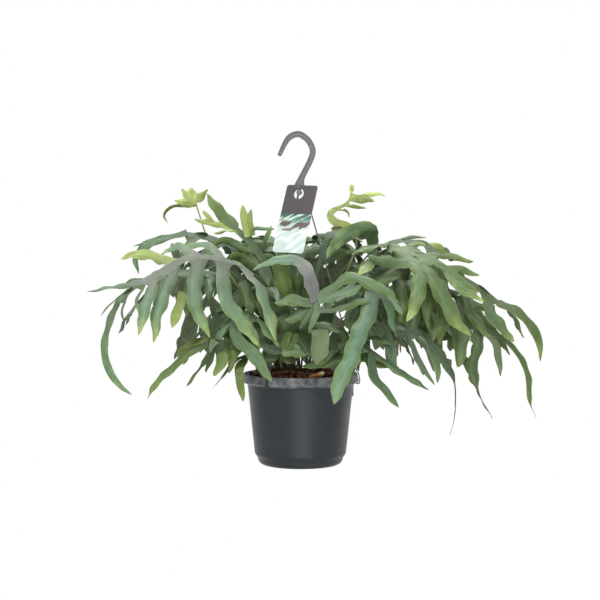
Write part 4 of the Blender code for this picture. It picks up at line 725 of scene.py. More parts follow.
def tube(path, radius, sides):
    """A circle carried along a path: centre + radius (cos(a) across + sin(a) up), its ends closed."""
    path = np.vstack([path[:1], path, path[-1:]])
    radius = np.concatenate([[0], np.broadcast_to(radius, len(path) - 2), [0]])
    spread = path + np.linspace(-1e-7, 1e-7, len(path))[:, None] * (path[-1] - path[0])
    ahead, across = carried_across(spread, TUBE_START)
    up = np.cross(across, ahead)
    angle = np.linspace(0, 2 * math.pi, sides + 1)[None, :, None]
    ring = np.cos(angle) * across[:, None] + np.sin(angle) * up[:, None]
    return path[:, None] + radius[:, None, None] * ring


def strap(path, half_width, half_thickness, corner=0.35, rounding=3):
    """A bar carried along a path in x and z: centre + x side + y up, round a rectangle with soft corners."""
    side = np.array([0.0, 1.0, 0.0])
    up = np.cross(side, unit(np.gradient(path, axis=0)))
    turn = np.radians(np.concatenate([np.linspace(q, q + 90, rounding + 1) for q in (0, 90, 180, 270)]))
    quarter = np.repeat([(1, 1), (-1, 1), (-1, -1), (1, -1)], rounding + 1, axis=0)
    small = corner * min(half_width, half_thickness)
    x = quarter[:, 0] * (half_width - small) + small * np.cos(turn)
    y = quarter[:, 1] * (half_thickness - small) + small * np.sin(turn)
    x, y = np.append(x, x[0]), np.append(y, y[0])
    ring = x[None, :, None] * side + y[None, :, None] * up[:, None]
    centres = np.broadcast_to(path[:, None], ring.shape)
    return np.concatenate([centres[:1], path[:, None] + ring, centres[-1:]])


# How each placed frond is coloured: bluish 0 to yellow-green 1, lime at the tips, grey-purple along the
# midrib, and lightness, which partly paints light and shade: darker deep in the plant, lighter at the front
FROND_TINTS = (
    (-0.15, 0.7, 1, 0.74), (-0.15, 0.15, 0.45, 0.58), (0.45, 1, 0.35, 0.5), (-0.2, 0.1, 0.9, 0.62),
    (0.55, 0.6, 0.6, 0.35), (0.4, 0.4, 0.5, 0.3), (0.2, 0.25, 0.4, 0.45), (0.15, 0.25, 0.3, 0.5),
    (0.1, 0.1, 0.5, 0.5), (0.35, 0.45, 0.3, 0.5), (1, 1, 0, 1), (1, 1, 0, 0.85), (0.3, 0.25, 0.5, 0.3),
    (0.45, 0.4, 0.5, 0.35), (0.4, 0.3, 0.4, 0.3), (0.6, 0.4, 0.2, 0.3), (0.1, 0.1, 0.4, 0.2),
    (0.15, 0.15, 0.3, 0.3), (0.3, 0.2, 0.3, 0.3), (0.5, 0.5, 0.3, 0.4), (0.5, 0.4, 0.3, 0.4),
)

# Lobes with a shape or colour of their own, by frond, side (L, R or E for the end) and place on the midrib.
# The path is the lobe's points, width scales it, outline is its half width at four places, tail is where it
# thins to a thread, blunt is its tip's power and notch the dent in it. The rest are colours, as for a frond;
# tone among them partly paints the lobe's light or shade.
OWN_SHAPES = {
    "01 E0": dict(outline=(1, 0.7, 0.45, 0.3), lime=0.1),
    "01 R3": dict(lime=0.9, warm=1, young=0.5, width=1.25),
    "02 E0": dict(notch=0.006, blunt=7, tone=0.76, warm=-0.15, outline=(0.88, 0.95, 0.95, 0.85)),
    "06 E0": dict(tail=0.82, path=((28.7, -5, 18.8), (30.7, -5, 16.8), (32, -5, 14.8), (32.5, -5, 12.1),
      (32.7, -5, 9.7), (33.6, -5, 7.3))),
    "06 R3": dict(tail=0.58, width=1.35, path=((25.3, -7, 19.3), (25, -7, 17.2), (24.4, -7, 14.6),
      (24.7, -7, 12.8), (25.6, -7, 10.4), (27.1, -7, 7.4))),
    "09 E0": dict(path=((-19, 1.8, 33), (-22, 1.4, 32.2), (-23.9, 1, 30.2), (-23.6, 0.6, 27.6))),
    "07 L3": dict(width=0.4),
    "07 L4": dict(width=0.4),
    "07 R3": dict(width=0.5),
    "07 R4": dict(width=0.4),
    "07 E0": dict(path=((-26.6, -7, 21.8), (-27.4, -7.3, 19.4), (-27.5, -7.6, 16.6), (-26.6, -8, 13.8),
      (-25.1, -8.2, 12.1), (-23.6, -8.3, 10.9))),
    "10 L1": dict(lime=0.9, width=0.75, blunt=3.5),
    "10 L2": dict(lime=1, young=1, width=0.8, path=((-9.9, -0.5, 34.2), (-12.6, -0.6, 33.6)), blunt=3),
    "10 R1": dict(width=0.9, path=((-5.3, -1, 32.4), (-4.9, -1.2, 33.6), (-4.2, -1.2, 34.7)), lime=0.3),
    "10 R2": dict(width=0.5, path=((-6.6, -0.6, 34.3), (-5.6, -0.8, 34.3), (-3.7, -1, 34.2))),
    "11 L0": dict(lime=0.1, young=0, rib=0.4, tail=0.85),
    "11 L1": dict(outline=(1.6, 1.35, 0.9, 0.5), blunt=1.5),
    "11 L2": dict(outline=(1.6, 1.3, 0.8, 0.5), blunt=1.5),
    "11 R2": dict(outline=(1.6, 1.35, 0.9, 0.5), blunt=1.5),
    "11 E0": dict(outline=(1.8, 1.5, 1, 0.6), blunt=1.6),
    "13 L1": dict(tone=0.75, width=1.12, rib=0.2),
    "17 R2": dict(width=0.65, lime=0.7),
    "17 L2": dict(width=0.8),
    "17 E0": dict(tail=0.3, width=1.5),
    "20 E0": dict(tail=0.88),
    "20 L0": dict(path=((-8.95, -9.8, 17.4), (-9.6, -9.8, 15.8), (-10, -9.8, 14.1)), lime=0.4, warm=0.8),
    "20 L1": dict(path=((-10.6, -9.8, 17.1), (-11.4, -9.8, 15.2), (-12.1, -9.8, 13.7)), lime=0.4, warm=0.6,
      outline=(0.35, 0.5, 1.1, 1.1), blunt=3, tone=0.6),
    "20 L2": dict(path=((-13.5, -9.8, 16), (-14.4, -9.8, 14.4), (-15.9, -9.8, 12.3)), lime=0.3,
      outline=(0.25, 0.1, 0.1, 1), blunt=1.6, tone=0.5),
    "20 R2": dict(lime=1, young=0.8, warm=0.8),
    "21 L0": dict(path=((-8.5, -9, 15), (-8.3, -9.2, 12.5), (-8, -9.4, 10.1)), warm=0.9, lime=0.4, tone=0.5),
    "21 R0": dict(width=0.6),
    "21 E0": dict(width=0.5, tail=0.35),
    "32 E0": dict(width=0.7),
    "39 E0": dict(width=0.6),
}

# Lobes that only the solids have
LEFT_OUT = {
    "01 R4", "02 R2", "05 L3", "09 E0", "09 R0", "09 R1", "10 R0", "21 L1", "21 R1", "31 L2", "31 L3",
    "31 R2", "32 R2", "32 R3", "35 L3", "35 R3", "39 R3", "45 L3", "45 R3",
}

# Lobes that fill out a frond: width, width of the root, points, own shape and colours
EXTRA = {
    "frond_01": (
      (1.5, 0.8, ((-16.5, -8, 25.4), (-17.2, -8, 22.9), (-18, -8, 20.3)), dict(lime=1, young=0.8, warm=1)),
      (1.3, 0.7, ((-17.3, -6, 30), (-17.7, -5.8, 31), (-18.2, -5.6, 32.2)), dict(tone=0.4)),
    ),
    "frond_03": (
      (1.9, 1, ((15.1, -9, 29.4), (12.1, -9.3, 30), (9.4, -9.5, 30.5)), dict(blunt=3, lime=0.2)),
      (2, 1, ((13.8, -8, 28.3), (12, -8.3, 27.6), (10, -8.5, 26.7)), dict(tone=0.2)),
      (1, 0.7, ((20.5, -6, 30.1), (19.6, -6.2, 31.7), (17.9, -6.4, 32.2)), dict(lime=1, young=0.7, warm=1)),
      (1.1, 0.7, ((20.1, -5, 30.7), (22, -5, 30.3), (23.8, -5, 29.5)), dict(tone=0.2)),
    ),
    "frond_06": (
      (1.8, 0.9, ((23.2, -7, 20), (22.7, -7.2, 17.5), (22.1, -7.2, 14.7)), dict(tone=0.5)),
    ),
    "frond_09": (
      (1.5, 1, ((-16.6, 2, 33.7), (-19, 1.8, 33), (-22, 1.4, 32.2), (-23.9, 1, 30.2), (-23.6, 0.6, 27.6)),
        dict(outline=(0.6, 0.75, 1.1, 0.6), blunt=1.4)),
    ),
    "frond_10": (
      (1.1, 0.5, ((-7.6, -0.3, 33), (-8.15, -0.5, 35.5), (-8.4, -0.5, 37.7)),
        dict(lime=1, young=1, warm=1, tone=0.75)),
      (0.9, 0.5, ((-6.9, -0.3, 33.2), (-7.35, -0.5, 35.4), (-7.1, -0.5, 37.1)),
        dict(lime=0.7, young=1, warm=1, tone=0.35)),
      (1.2, 0.6, ((-10.3, -0.2, 34.5), (-12.6, -0.6, 35.2), (-15.4, -0.6, 35.6)),
        dict(lime=0.9, young=1, warm=1, blunt=1.3)),
      (0.8, 0.6, ((-12.7, -0.5, 35.1), (-13.5, -0.7, 36.1), (-14.1, -0.7, 36.9)),
        dict(lime=0.9, young=1, warm=1)),
    ),
    "frond_12": (
      (0.8, 0.3, ((7.4, 2, 39), (9.4, 2, 39.3), (11.2, 2, 39.5), (12.5, 2.1, 38.95)),
        dict(outline=(0.4, 0.35, 1.2, 0.7))),
    ),
}

# The two young fronds as they are seen, their small lobes finer than on their solids
SEEN = {
    "frond_11": dict(stalk=0.965, roll=90, wing=0.3,
      rib=((-1, 3.6, 13), (-5, 4.5, 20), (-10.2, 5, 27), (-13.6, 5, 32.4), (-15.3, 5, 37.3),
        (-15.8, 5, 38.6)),
      left=((0.6, (-17.3, 6, 37.6), (-19.2, 6, 37.4), (-20.3, 6, 36.2), (-19.6, 6, 34.8)),
        (1.2, (-17, 5, 38), (-18.7, 4.6, 38.45)), (1.1, (-16.8, 5, 39), (-17.6, 4.8, 40.2))),
      right=(None, None, (1.3, (-14.9, 5, 38.8), (-13.7, 4.6, 40.1))),
      end=(1.4, (-16, 5, 39.3), (-16.1, 4.8, 40.4))),
    "frond_12": dict(stalk=0.72, roll=-90, wings=(0.0045, 0.006, 0.006, 0.0045, 0.0026, 0.0016, 0.0012),
      rib=((1.8, 1.8, 13.2), (4, 2, 22), (7.4, 2, 29.5), (8.2, 2, 32.5), (7.2, 2, 34.5), (5.2, 2, 35.1),
        (4.25, 2, 36.2), (4.95, 2, 37), (6.2, 2, 37.6), (7.1, 2, 38.4), (7.4, 2, 39.6)),
      left=((0.9, (5.6, 2, 34.4), (4.4, 2, 34.25)), None, None, None, None, None),
      right=(None, None, None, (0.5, (6.3, 2, 37), (6.95, 2, 36.5), (7.05, 2, 35.8)),
        (0.7, (7.8, 1.9, 37.5), (9.6, 1.8, 37.2)), (1.3, (9.1, 2, 38.35), (10.75, 2, 38.2))),
      end=(0.8, (7.42, 2, 40.1), (7.44, 2, 40.7))),
}

# Inner fronds as they are seen: the stalk's points, then lobes that spring from its head, as those in EXTRA.
# Their mostly low tones are painted shade deep in the plant.
LOOSE = {
    "frond_04": (((0.2, -1.2, 13.2), (-1, -4, 17), (-1.3, -8, 20.3), (0.3, -11, 22.3), (2.3, -13.2, 24.3)), (
      (1.7, 1.1, ((2.3, -12.9, 24.3), (0.3, -12.6, 24.3), (-1.7, -12.4, 24.4), (-3.6, -12.4, 24.1)),
        dict(tone=0.15, blunt=3)),
      (1.8, 0.9, ((2.1, -13, 24), (0.4, -12.8, 23), (-0.9, -12.8, 22.1), (-2.3, -12.8, 21.7)),
        dict(tone=0.15)),
      (1.1, 0.6, ((2.2, -13.3, 23.9), (1.1, -13.4, 22.6), (0.3, -13.6, 21.4), (-0.1, -13.6, 20.5)),
        dict(tone=0.3)),
      (0.9, 0.7, ((2.3, -13.4, 24.3), (2.2, -14, 22.9), (1.6, -14.2, 21.7), (1.2, -14.2, 20)),
        dict(tone=0.4, rib=0.6)),
      (1.2, 0.4, ((2.5, -13.8, 23.2), (4, -14.3, 23.3), (5.6, -14.5, 23.7), (7, -14.7, 24.1),
        (7.8, -15, 24.5), (9.5, -15.2, 24.6)), dict(outline=(0.5, 0.7, 1, 1), blunt=4, rib=0.8, tone=0.5)),
      (1.5, 1, ((2.3, -13.5, 24.4), (3.6, -14, 25), (5.4, -14.2, 25.5), (7, -14.4, 25.9), (8.3, -14.6, 26.7)),
        dict(blunt=3, rib=0.3, tone=0.6)),
      (1.5, 1.1, ((2.3, -13.5, 24.7), (4.1, -13.8, 26.2), (6, -14, 27.5), (7.6, -14.5, 27.7),
        (9.8, -15, 26.8), (11.7, -15.5, 25.6), (13.3, -15.8, 24.2)), dict(rib=0.3, tone=0.6)),
      (1.9, 1.3, ((2.3, -13.2, 24.3), (1.7, -13.3, 26.1), (1.2, -12.8, 27.8), (0.4, -12, 29),
        (-0.7, -11.5, 29.9), (-2.3, -11.8, 30.1), (-4.1, -12.3, 29.8), (-6.6, -13, 28.5)),
        dict(outline=(0.8, 1, 0.85, 0.5), rib=3, tone=0.85, warm=-0.1)),
    )),
    "frond_19": (((0.4, -2.8, 13.2), (1.4, -4.5, 16), (2.6, -7.5, 18.8), (2.7, -10.5, 20.8),
      (2.6, -12.3, 20.5)), (
      (1.3, 0.5, ((3.4, -11, 19.2), (4.5, -11, 18.2), (5.3, -11, 17.2)), dict(tone=0)),
      (2, 0.9, ((0.4, -7, 16.2), (0.9, -7.6, 18.4), (0.2, -7.8, 20.8)), dict(tone=-0.1)),
      (2, 0.9, ((3, -6.4, 19), (3.4, -6.8, 21.5), (4.6, -6.8, 23.6)), dict(tone=-0.05)),
      (1.6, 0.8, ((1.3, -11.5, 20.6), (2.8, -11.8, 21), (4.2, -12, 20.8), (5.5, -12.2, 20)),
        dict(tone=0.3, warm=0.5)),
      (2.4, 2.2, ((2.6, -12.4, 20.4), (2.7, -13, 18.7), (2.6, -13, 17.4), (2.2, -12.8, 15.5)),
        dict(under=True, outline=(1, 1, 1, 0.8), blunt=1.4, rib=0.6, warm=1, tone=0.35)),
    )),
    "frond_41": (((-0.6, -3.4, 13.2), (0, -5, 20), (0.8, -7, 27), (0.2, -8, 28.8), (-1.5, -8.6, 29.8),
      (-5.4, -9, 29.6)), (
      (2, 1.2, ((0.2, -8, 28.8), (-0.2, -8.5, 27.1), (-0.5, -8.5, 25.2)), dict(tone=0, warm=1, blunt=3)),
      (1.4, 0.8, ((1.4, -9, 26.8), (1, -9.5, 25.3), (0.3, -9.5, 23.9)), dict(tone=0.05, warm=1)),
      (2.2, 1, ((-1.8, -6.4, 21.8), (-3, -6.8, 23), (-4.6, -6.8, 23.6)), dict(tone=0)),
      (2, 0.9, ((1.2, -6.4, 22.6), (0.4, -6.8, 24.4), (-0.9, -6.8, 25.6)), dict(tone=-0.1)),
      (1.5, 0.8, ((-5.4, -8.8, 29.4), (-5, -9, 28.2), (-4.4, -9.2, 26.3)), dict(tone=0.25, rib=1)),
      (1.9, 1, ((-8, -8, 27), (-7.2, -8.5, 24.3), (-6.9, -8.7, 22)), dict(tone=0.05)),
      (2.2, 1.1, ((-2.6, -8.6, 22.2), (-1.8, -9, 20.6), (-0.6, -9.2, 18.8)), dict(tone=0, warm=0.5)),
      (1.9, 1, ((-0.3, -8.8, 19.6), (0.6, -9, 18.2), (1.7, -9.2, 16.6)), dict(tone=0)),
      (1.7, 0.9, ((-3.4, -8.4, 18.4), (-2.3, -8.8, 17), (-1.2, -9, 15.4)), dict(tone=0.1, warm=0.6)),
      (1.6, 0.8, ((-5.6, -8.6, 26.4), (-5.2, -9, 24), (-4.7, -9, 21.8)), dict(tone=0.1)),
      (2.4, 1.6, ((-3, -9, 29.8), (-2.7, -9.6, 28.2), (-2.3, -10, 26.5), (-1.9, -10, 24.8)),
        dict(tone=0.1, warm=1, blunt=4)),
    )),
    "frond_42": (((0, -3, 13.2), (-1.2, -6, 15.8), (-2.4, -10.4, 17.4)), (
      (1.5, 0.7, ((-2.4, -10.3, 17.5), (-4.2, -10.2, 17.6), (-6, -10, 18.6)), dict(tone=0.2, rib=1.2)),
      (1.2, 0.5, ((-2.5, -10.4, 17.6), (-1.9, -10.6, 19.1), (-1.2, -10.8, 19.9)), dict(tone=0.3, warm=0.9)),
      (1.1, 0.6, ((-2.2, -10.6, 17.5), (-0.9, -11, 18.7), (-0.4, -11, 19.8)), dict(tone=0.2, warm=0.6)),
      (2, 0.9, ((-2.2, -7.2, 19), (-3.8, -7.6, 18), (-5.2, -7.6, 16.2)), dict(tone=0)),
      (2.2, 1, ((-0.6, -7, 20.5), (-1.6, -7.4, 18.6), (-1.9, -7.4, 16.2)), dict(tone=-0.1)),
      (2.2, 1, ((-5.2, -6.6, 21.5), (-6.6, -7, 20), (-7.4, -7, 17.6)), dict(tone=0, warm=0.6)),
      (1.8, 0.8, ((-2.6, -10.7, 17.3), (-0.8, -11, 17.4), (0.9, -11.2, 16.8)),
        dict(outline=(0.7, 1, 1.1, 0.6), blunt=1.5, tone=0.3, warm=0.5)),
      (1.6, 0.7, ((-3.2, -9.4, 16.6), (-4.8, -9.4, 16.3), (-6.8, -9.4, 15.6)), dict(tone=0.2, warm=0.6)),
    )),
    "frond_43": (((1.8, -2.6, 13.2), (4, -5, 15.5), (7.1, -9.5, 16.7)), (
      (1.5, 0.7, ((6.8, -9.2, 16.8), (6.2, -9.3, 18.8), (5.4, -9.3, 20.6)), dict(tone=0, warm=0.8)),
      (2.2, 1, ((5.4, -6.8, 19.8), (4.8, -7.2, 17.8), (4.9, -7.2, 15.4)), dict(tone=-0.1)),
      (2.2, 1, ((7.4, -6.4, 20.5), (8.4, -6.8, 18.6), (8.8, -6.8, 16.2)), dict(tone=0, warm=0.7)),
      (2, 0.9, ((5.2, -6.4, 23), (6.6, -6.8, 24), (8.2, -6.8, 24.2)), dict(tone=0, warm=0.5)),
      (1.5, 0.7, ((7.1, -9.5, 16.7), (4.1, -9.6, 16), (2, -9.4, 15.4), (0.2, -9.2, 15)),
        dict(tone=0.25, warm=0.7)),
      (1.5, 0.7, ((7.1, -9.4, 16.7), (10.3, -9.2, 15.9), (13.8, -9, 14.9)), dict(tone=0.25, warm=0.7)),
    )),
}


def grown_lobes(name, frond, frame, strip, ground, random):
    """The frond's lobes as its solid has them, (side, station, width, points, near, far), and its end."""
    centre, ahead, _ = frame
    shares = rib_shares(frond)
    face = np.array(FRONT_LIGHT) if frond["end"] and centre[-1][1] < 0 else None
    half = BLADE_THICKNESS / 2 + CLEARANCE
    lobes = []
    for station in range(BLADE_START, len(shares) - 1):
        share = (shares[station] + shares[station + 1]) / 2
        for side, key in enumerate(("left", "right")):
            given = frond[key][station - BLADE_START]
            sign = (-1, 1)[side]
            width, points = given_lobe(given) if given else lobe_by_rule(frond, frame, share, sign, random)
            near, far = strip[side][station:station + 2]
            found = fitted_lobe(ground, name, near, far, width, points, face)
            if found:
                points, rows = found
                ground.add(*thick_strip(*rows, half), name)
                lobes.append((side, station, width, points, near, far))
    if frond["end"]:
        width, points = given_lobe(frond["end"])
    else:
        width, tip = frond["size"][1] * CM * 0.9, centre[-1]
        length = 0.75 * frond["size"][0] * CM
        points = np.array([tip + 0.5 * length * unit(ahead[-1] - 0.1 * UP),
                           tip + length * unit(ahead[-1] - 0.35 * UP)])
    near, far = strip[0][-1], strip[1][-1]
    found = fitted_lobe(ground, name, near, far, width, points, face)
    if found is None:
        return lobes, None, face
    ground.add(*thick_strip(*found[1], half), name)
    return lobes, (width, found[0], near, far), face


def wing_at(frond, shares):
    """Half the width of the winged midrib at shares of its length, as its solid has it."""
    stations = rib_shares(frond)[BLADE_START:]
    return np.interp(shares, stations, frond.get("wings", wing_widths(frond, len(stations))))


def wing_edge(frond, frame, shares, side, wing=None):
    """Midrib point, direction outwards and half width at shares of the midrib, on one side (-1 or 1)."""
    centre, _, across = frame
    wing = wing_at(frond, shares) if wing is None else wing
    return at_shares(centre, shares), side * unit(at_shares(across, shares)), wing[:, None]


def seen_lobes(frond, frame):
    """The lobes of a frond whose every lobe is given, rooted on the edges of its wing."""
    lines = []
    for sign in (-1, 1):
        middle, out, half = wing_edge(frond, frame, rib_shares(frond)[BLADE_START:], sign)
        lines.append(middle + half * out)
    lobes = []
    for side, key in enumerate(("left", "right")):
        for i, row in enumerate(frond[key]):
            if row:
                lobes.append((side, BLADE_START + i, *given_lobe(row), lines[side][i], lines[side][i + 1]))
    return lobes, (*given_lobe(frond["end"]), lines[0][-1], lines[1][-1]), None


def spread(start, end):
    """Shares of the midrib from start to end, one for each place across a lobe."""
    return start + (ACROSS + 1) / 2 * (end - start)


def wing_patch(frond, frame, start, end, side, paint, wing=None):
    """The strip between the midrib and its wing's edge: midrib point + row times half width outwards."""
    shares = spread(start, end)
    middle, out, half = wing_edge(frond, frame, shares, side, wing)
    rows = np.linspace(0, 1, 5)[:, None, None]
    points = middle[None] + rows * (half * out)[None]
    inwards = (rows[..., 0] - 1) * half[:, 0][None]
    uv = np.stack(np.broadcast_arrays(0.5 + 0.25 * ACROSS[None], inwards), axis=-1)
    tint = np.empty((5, len(ACROSS), 4))
    tint[...] = (paint["rib"], paint["lime"] * paint["young"], paint["warm"], paint["tone"])
    return patch(points, uv, tint, flip=side > 0)


def lobe_rows(length, flare):
    """Shares of a lobe's length where its rows lie: close by the midrib's wing and the tip, wider between."""
    close = flare * np.array([0, 0.04, 0.16, 0.38, 0.68, 1]) / length
    count = int(np.clip(length / 0.0055, 8, 30))
    far = 1 - (1 - np.linspace(0, 1, count + 1)[1:]) ** 1.35
    return np.append(close, close[-1] + (1 - close[-1]) * far)


def lobe_outline(shares, half, own, random):
    """The strap's body, which runs out in a thread past its tail, and its tip, (1 - x^blunt)^0.7."""
    body = np.interp(shares, (0, 0.3, 0.6, 1), own.get("outline", (0.88, 0.95, 1, 0.88)))
    thread = THREAD_HALF_WIDTH / half * (1 - 0.5 * shares)
    body = thread + (body - thread) * ramp(own.get("tail", 2) + 0.16 - shares, 0.16) ** 1.5
    blunt = own.get("blunt", random.uniform(1.3, 2.4))
    return body, (1 - ramp(shares, 0.4, 0.6) ** blunt) ** 0.7


def lobe_tint(shares, length, random, paint):
    """The lobe's tint by row: rib fades from the root, lime comes at the tip, warm and tone drift."""
    distance = shares * length
    rib = paint["rib"] * np.exp(-((distance / (0.3 * length + 0.008)) ** 1.5))
    outer = ramp(shares, 0.53, 0.45) ** 2.2
    lime = paint["lime"] * (paint["young"] + (1 - paint["young"]) * outer)
    warm = np.clip(paint["warm"] + random.uniform(-0.2, 0.25), 0, 1)
    tone = np.clip(paint["tone"] + random.uniform(-0.3, 0.22), 0, 1.2)
    fade = ramp(distance, 0.03)
    warm = paint["warm"] + fade * (warm - paint["warm"])
    tone = paint["tone"] + fade * (tone - paint["tone"])
    return np.stack([rib, lime, warm, tone], axis=1)[:, None]


def lobe_patch(edge, near, far, width, points, face, side, random, paint, own):
    """A strap-shaped lobe: centre + across times half width + its upper side times lift, by row and place.

    The half width starts as half the root, closes along a quarter circle round the sinus, then follows the
    strap's outline, body times tip, with a slow wave along each edge. The lift is a crease at the midvein
    with drooping edges, a |place| - b place^2, and a ruffle sin(2 pi distance / wavelength) that fades
    towards the midvein. The centre line wavers from side to side.
    """
    paint = {**paint, **own}
    width = width * own.get("width", 1)
    points = np.array(own["path"]) * CM if "path" in own else points
    centre = smooth_path(np.vstack([(near + far) / 2, points]), LOBE_DETAIL)
    ahead, across = carried_across(centre, unit(far - near))
    across = turned_to_light(centre, ahead, across, face)
    length = np.linalg.norm(np.diff(centre, axis=0), axis=1).sum()
    root_half, half = np.linalg.norm(far - near) / 2, width / 2
    flare = min(np.clip(1.1 * abs(root_half - 0.9 * half) + 0.002, 0.003, 0.009), 0.3 * length)
    shares = lobe_rows(length, flare)
    distance = shares * length
    body, tip = lobe_outline(shares, half, own, random)
    sinus = 1 - np.sqrt(1 - (1 - ramp(distance, flare)) ** 2)
    open_part = ramp(distance, 0.015, flare) * ramp(1 - shares, 0.12)
    waves = random.uniform(0.026, 0.05, 2)
    phases = random.uniform(0, 2 * math.pi, 4)
    side_number = (ACROSS > 0).astype(int)
    swing = 2 * math.pi * distance[:, None] / waves[side_number][None]
    ripple = 0.13 * open_part[:, None] * np.sin(swing + phases[side_number][None])
    halves = (half * body * tip)[:, None] * (1 + ripple) + ((root_half - 0.88 * half) * sinus)[:, None]
    place = np.abs(ACROSS)[None]
    ruffle = random.uniform(0.07, 0.15) * width * open_part[:, None] * place**1.7
    ruffle = ruffle * np.sin(1.25 * swing + phases[2 + side_number][None])
    droop = random.uniform(0.12, 0.4) * place**2 - 0.1 * place
    hollow = -width * (tip * ramp(distance, 0.02))[:, None] * droop
    forwards, sideways = at_shares(ahead, shares), unit(at_shares(across, shares))
    waver = np.sin(2 * math.pi * distance / random.uniform(0.045, 0.08) + phases[1])
    waver = 0.07 * width * open_part * waver
    middle = at_shares(centre, shares) + waver[:, None] * sideways
    upper = (1 if side > 0 else -1) * unit(np.cross(forwards, sideways))
    grid = middle[:, None] + (halves * ACROSS)[..., None] * sideways[:, None]
    grid = grid + (ruffle + hollow)[..., None] * upper[:, None]
    fade = 1 - ramp(distance, 1.8 * flare)
    fade = (fade * fade * (3 - 2 * fade))[:, None, None]
    grid = grid + fade * (edge - grid[0])[None]
    notch = own.get("notch", 0) * (np.sin(math.pi * place) - 0.5 * (1 - place))
    notch = ramp(shares, 0.25, 0.75)[:, None] ** 2 * notch
    grid = grid + notch[..., None] * unit(forwards)[:, None]
    uv = np.stack(np.broadcast_arrays((ACROSS + 1)[None] / 2, distance[:, None]), axis=-1)
    return patch(grid, uv, lobe_tint(shares, length, random, paint), flip=side > 0)


def stalk_patch(frond, frame, end, paint):
    """The wiry stalk and the raised midrib: a round bar from the mix to the end lobe, thinner as it goes."""
    centre, ahead, across = frame
    share = np.linspace(0, 1, 60)
    blade = ramp(share - frond["stalk"] + 0.04, 0.08)
    sink = 0.0009 * blade[:, None] * unit(np.cross(at_shares(across, share), at_shares(ahead, share)))
    path = at_shares(centre, share) - sink
    path = np.vstack([path[:1] - STALK_BURIED * UP, path])
    radius = np.interp(np.append(0, share), (0, frond["stalk"], 1), (0.0014, 0.00105, 0.0006))
    if end is not None:
        _, points, near, far = end
        beyond = smooth_path(np.vstack([(near + far) / 2, points]), 24)[2:20]
        path = np.vstack([path, beyond - sink[-1:] * 0.8])
        radius = np.append(radius, np.linspace(0.00055, 0.0002, len(beyond)))
    points = tube(path, radius, 8)
    tint = np.zeros(points.shape[:2] + (4,))
    tint[:, :, 0] = ramp(np.linspace(0, 1, len(points)), max(frond["stalk"], 0.1))[:, None]
    tint[..., 1:] = (paint["lime"] * paint["young"], paint["warm"], paint["tone"])
    return patch(points, None, tint, slot=2)


def frond_paint(number, young, height, random):
    """How a frond is coloured: by its own row of tints or, grown by rule, by a drawn one, darker low down as
    painted shade, the older low leaves also a darker green.
    """
    if number < len(FROND_TINTS):
        warm, lime, rib, tone = FROND_TINTS[number]
    else:
        # Fronds that end low are painted darker: painted shade under the crown, with the older low leaves
        # also a darker green.
        low = ramp(0.25 - height, 0.1)
        warm, lime, rib = (random.uniform(*span) for span in ((0.15, 0.6), (0, 0.35), (0.2, 0.6)))
        tone = random.uniform(0.3, 0.6) - 0.3 * low
    return dict(warm=warm, lime=lime, rib=rib, tone=tone, young=0.9 if young else 0.08)


def build_frond(name, number, frond, frame, grown, looks, random):
    """One frond: the winged midrib and its lobes as one thin leaf, on its round stalk."""
    lobes, end, face = grown
    young = abs(frond["roll"]) == 90
    paint = frond_paint(number, young, frame[0][-1][2], random)
    shares = rib_shares(frond)
    leaf = []
    for side in (-1, 1):
        start = max(shares[BLADE_START] - 0.09, 0.3 * shares[BLADE_START])
        widest = wing_at(frond, shares[BLADE_START:BLADE_START + 1])[0]
        taper = WING_START + (widest - WING_START) * ((ACROSS + 1) / 2) ** 2
        leaf.append(wing_patch(frond, frame, start, shares[BLADE_START], side, paint, taper))
        for station in range(BLADE_START, len(shares) - 1):
            leaf.append(wing_patch(frond, frame, shares[station], shares[station + 1], side, paint))
    for side, station, width, points, near, far in lobes:
        sign = (-1, 1)[side]
        middle, out, half = wing_edge(frond, frame, spread(shares[station], shares[station + 1]), sign)
        key = f"{name[-2:]} {'LR'[side]}{station - BLADE_START}"
        if key not in LEFT_OUT:
            wide = width * (1.25 if number >= len(PLACED) else 1)
            own = OWN_SHAPES.get(key, {})
            edge = middle + half * out
            leaf.append(lobe_patch(edge, near, far, wide, points, face, sign, random, paint, own))
    if end is not None:
        width, points, near, far = end
        middle, out, half = wing_edge(frond, frame, np.ones(1), 1)
        edge = middle + half * out * ACROSS[:, None]
        key = f"{name[-2:]} E0"
        own = OWN_SHAPES.get(key, {})
        end = (width, np.array(own["path"]) * CM if "path" in own else points, near, far)
        if key not in LEFT_OUT:
            leaf.append(lobe_patch(edge, near, far, width, points, face, -1, random, paint, own))
    leaf += loose_lobes(EXTRA.get(name, ()), random, paint)
    finish_frond(name, leaf, stalk_patch(frond, frame, end, paint), looks)


def loose_lobes(rows, random, paint):
    """Lobes given as rows of width, root width, points and own shape, each root a straight line."""
    leaf = []
    for width, root, points, own in rows:
        points = np.array(points) * CM
        face = np.array(FRONT_LIGHT) * (-1 if own.get("under") else 1)
        half = root / 2 * CM * unit(np.cross(points[1] - points[0], face))
        edge = points[0] + ACROSS[:, None] * half
        leaf.append(lobe_patch(edge, edge[0], edge[-1], width * CM, points[1:], face, -1, random, paint, own))
    return leaf


def build_loose_frond(name, rows, lobes, looks, random):
    """A frond whose lobes spring from the head of its stalk."""
    paint = dict(warm=0.3, lime=0.1, rib=0.2, young=0.1, tone=0.35)
    stalk = stalk_patch(dict(stalk=0.95), rib_frame(np.array(rows) * CM, 0), None, paint)
    finish_frond(name, loose_lobes(lobes, random, paint), stalk, looks)


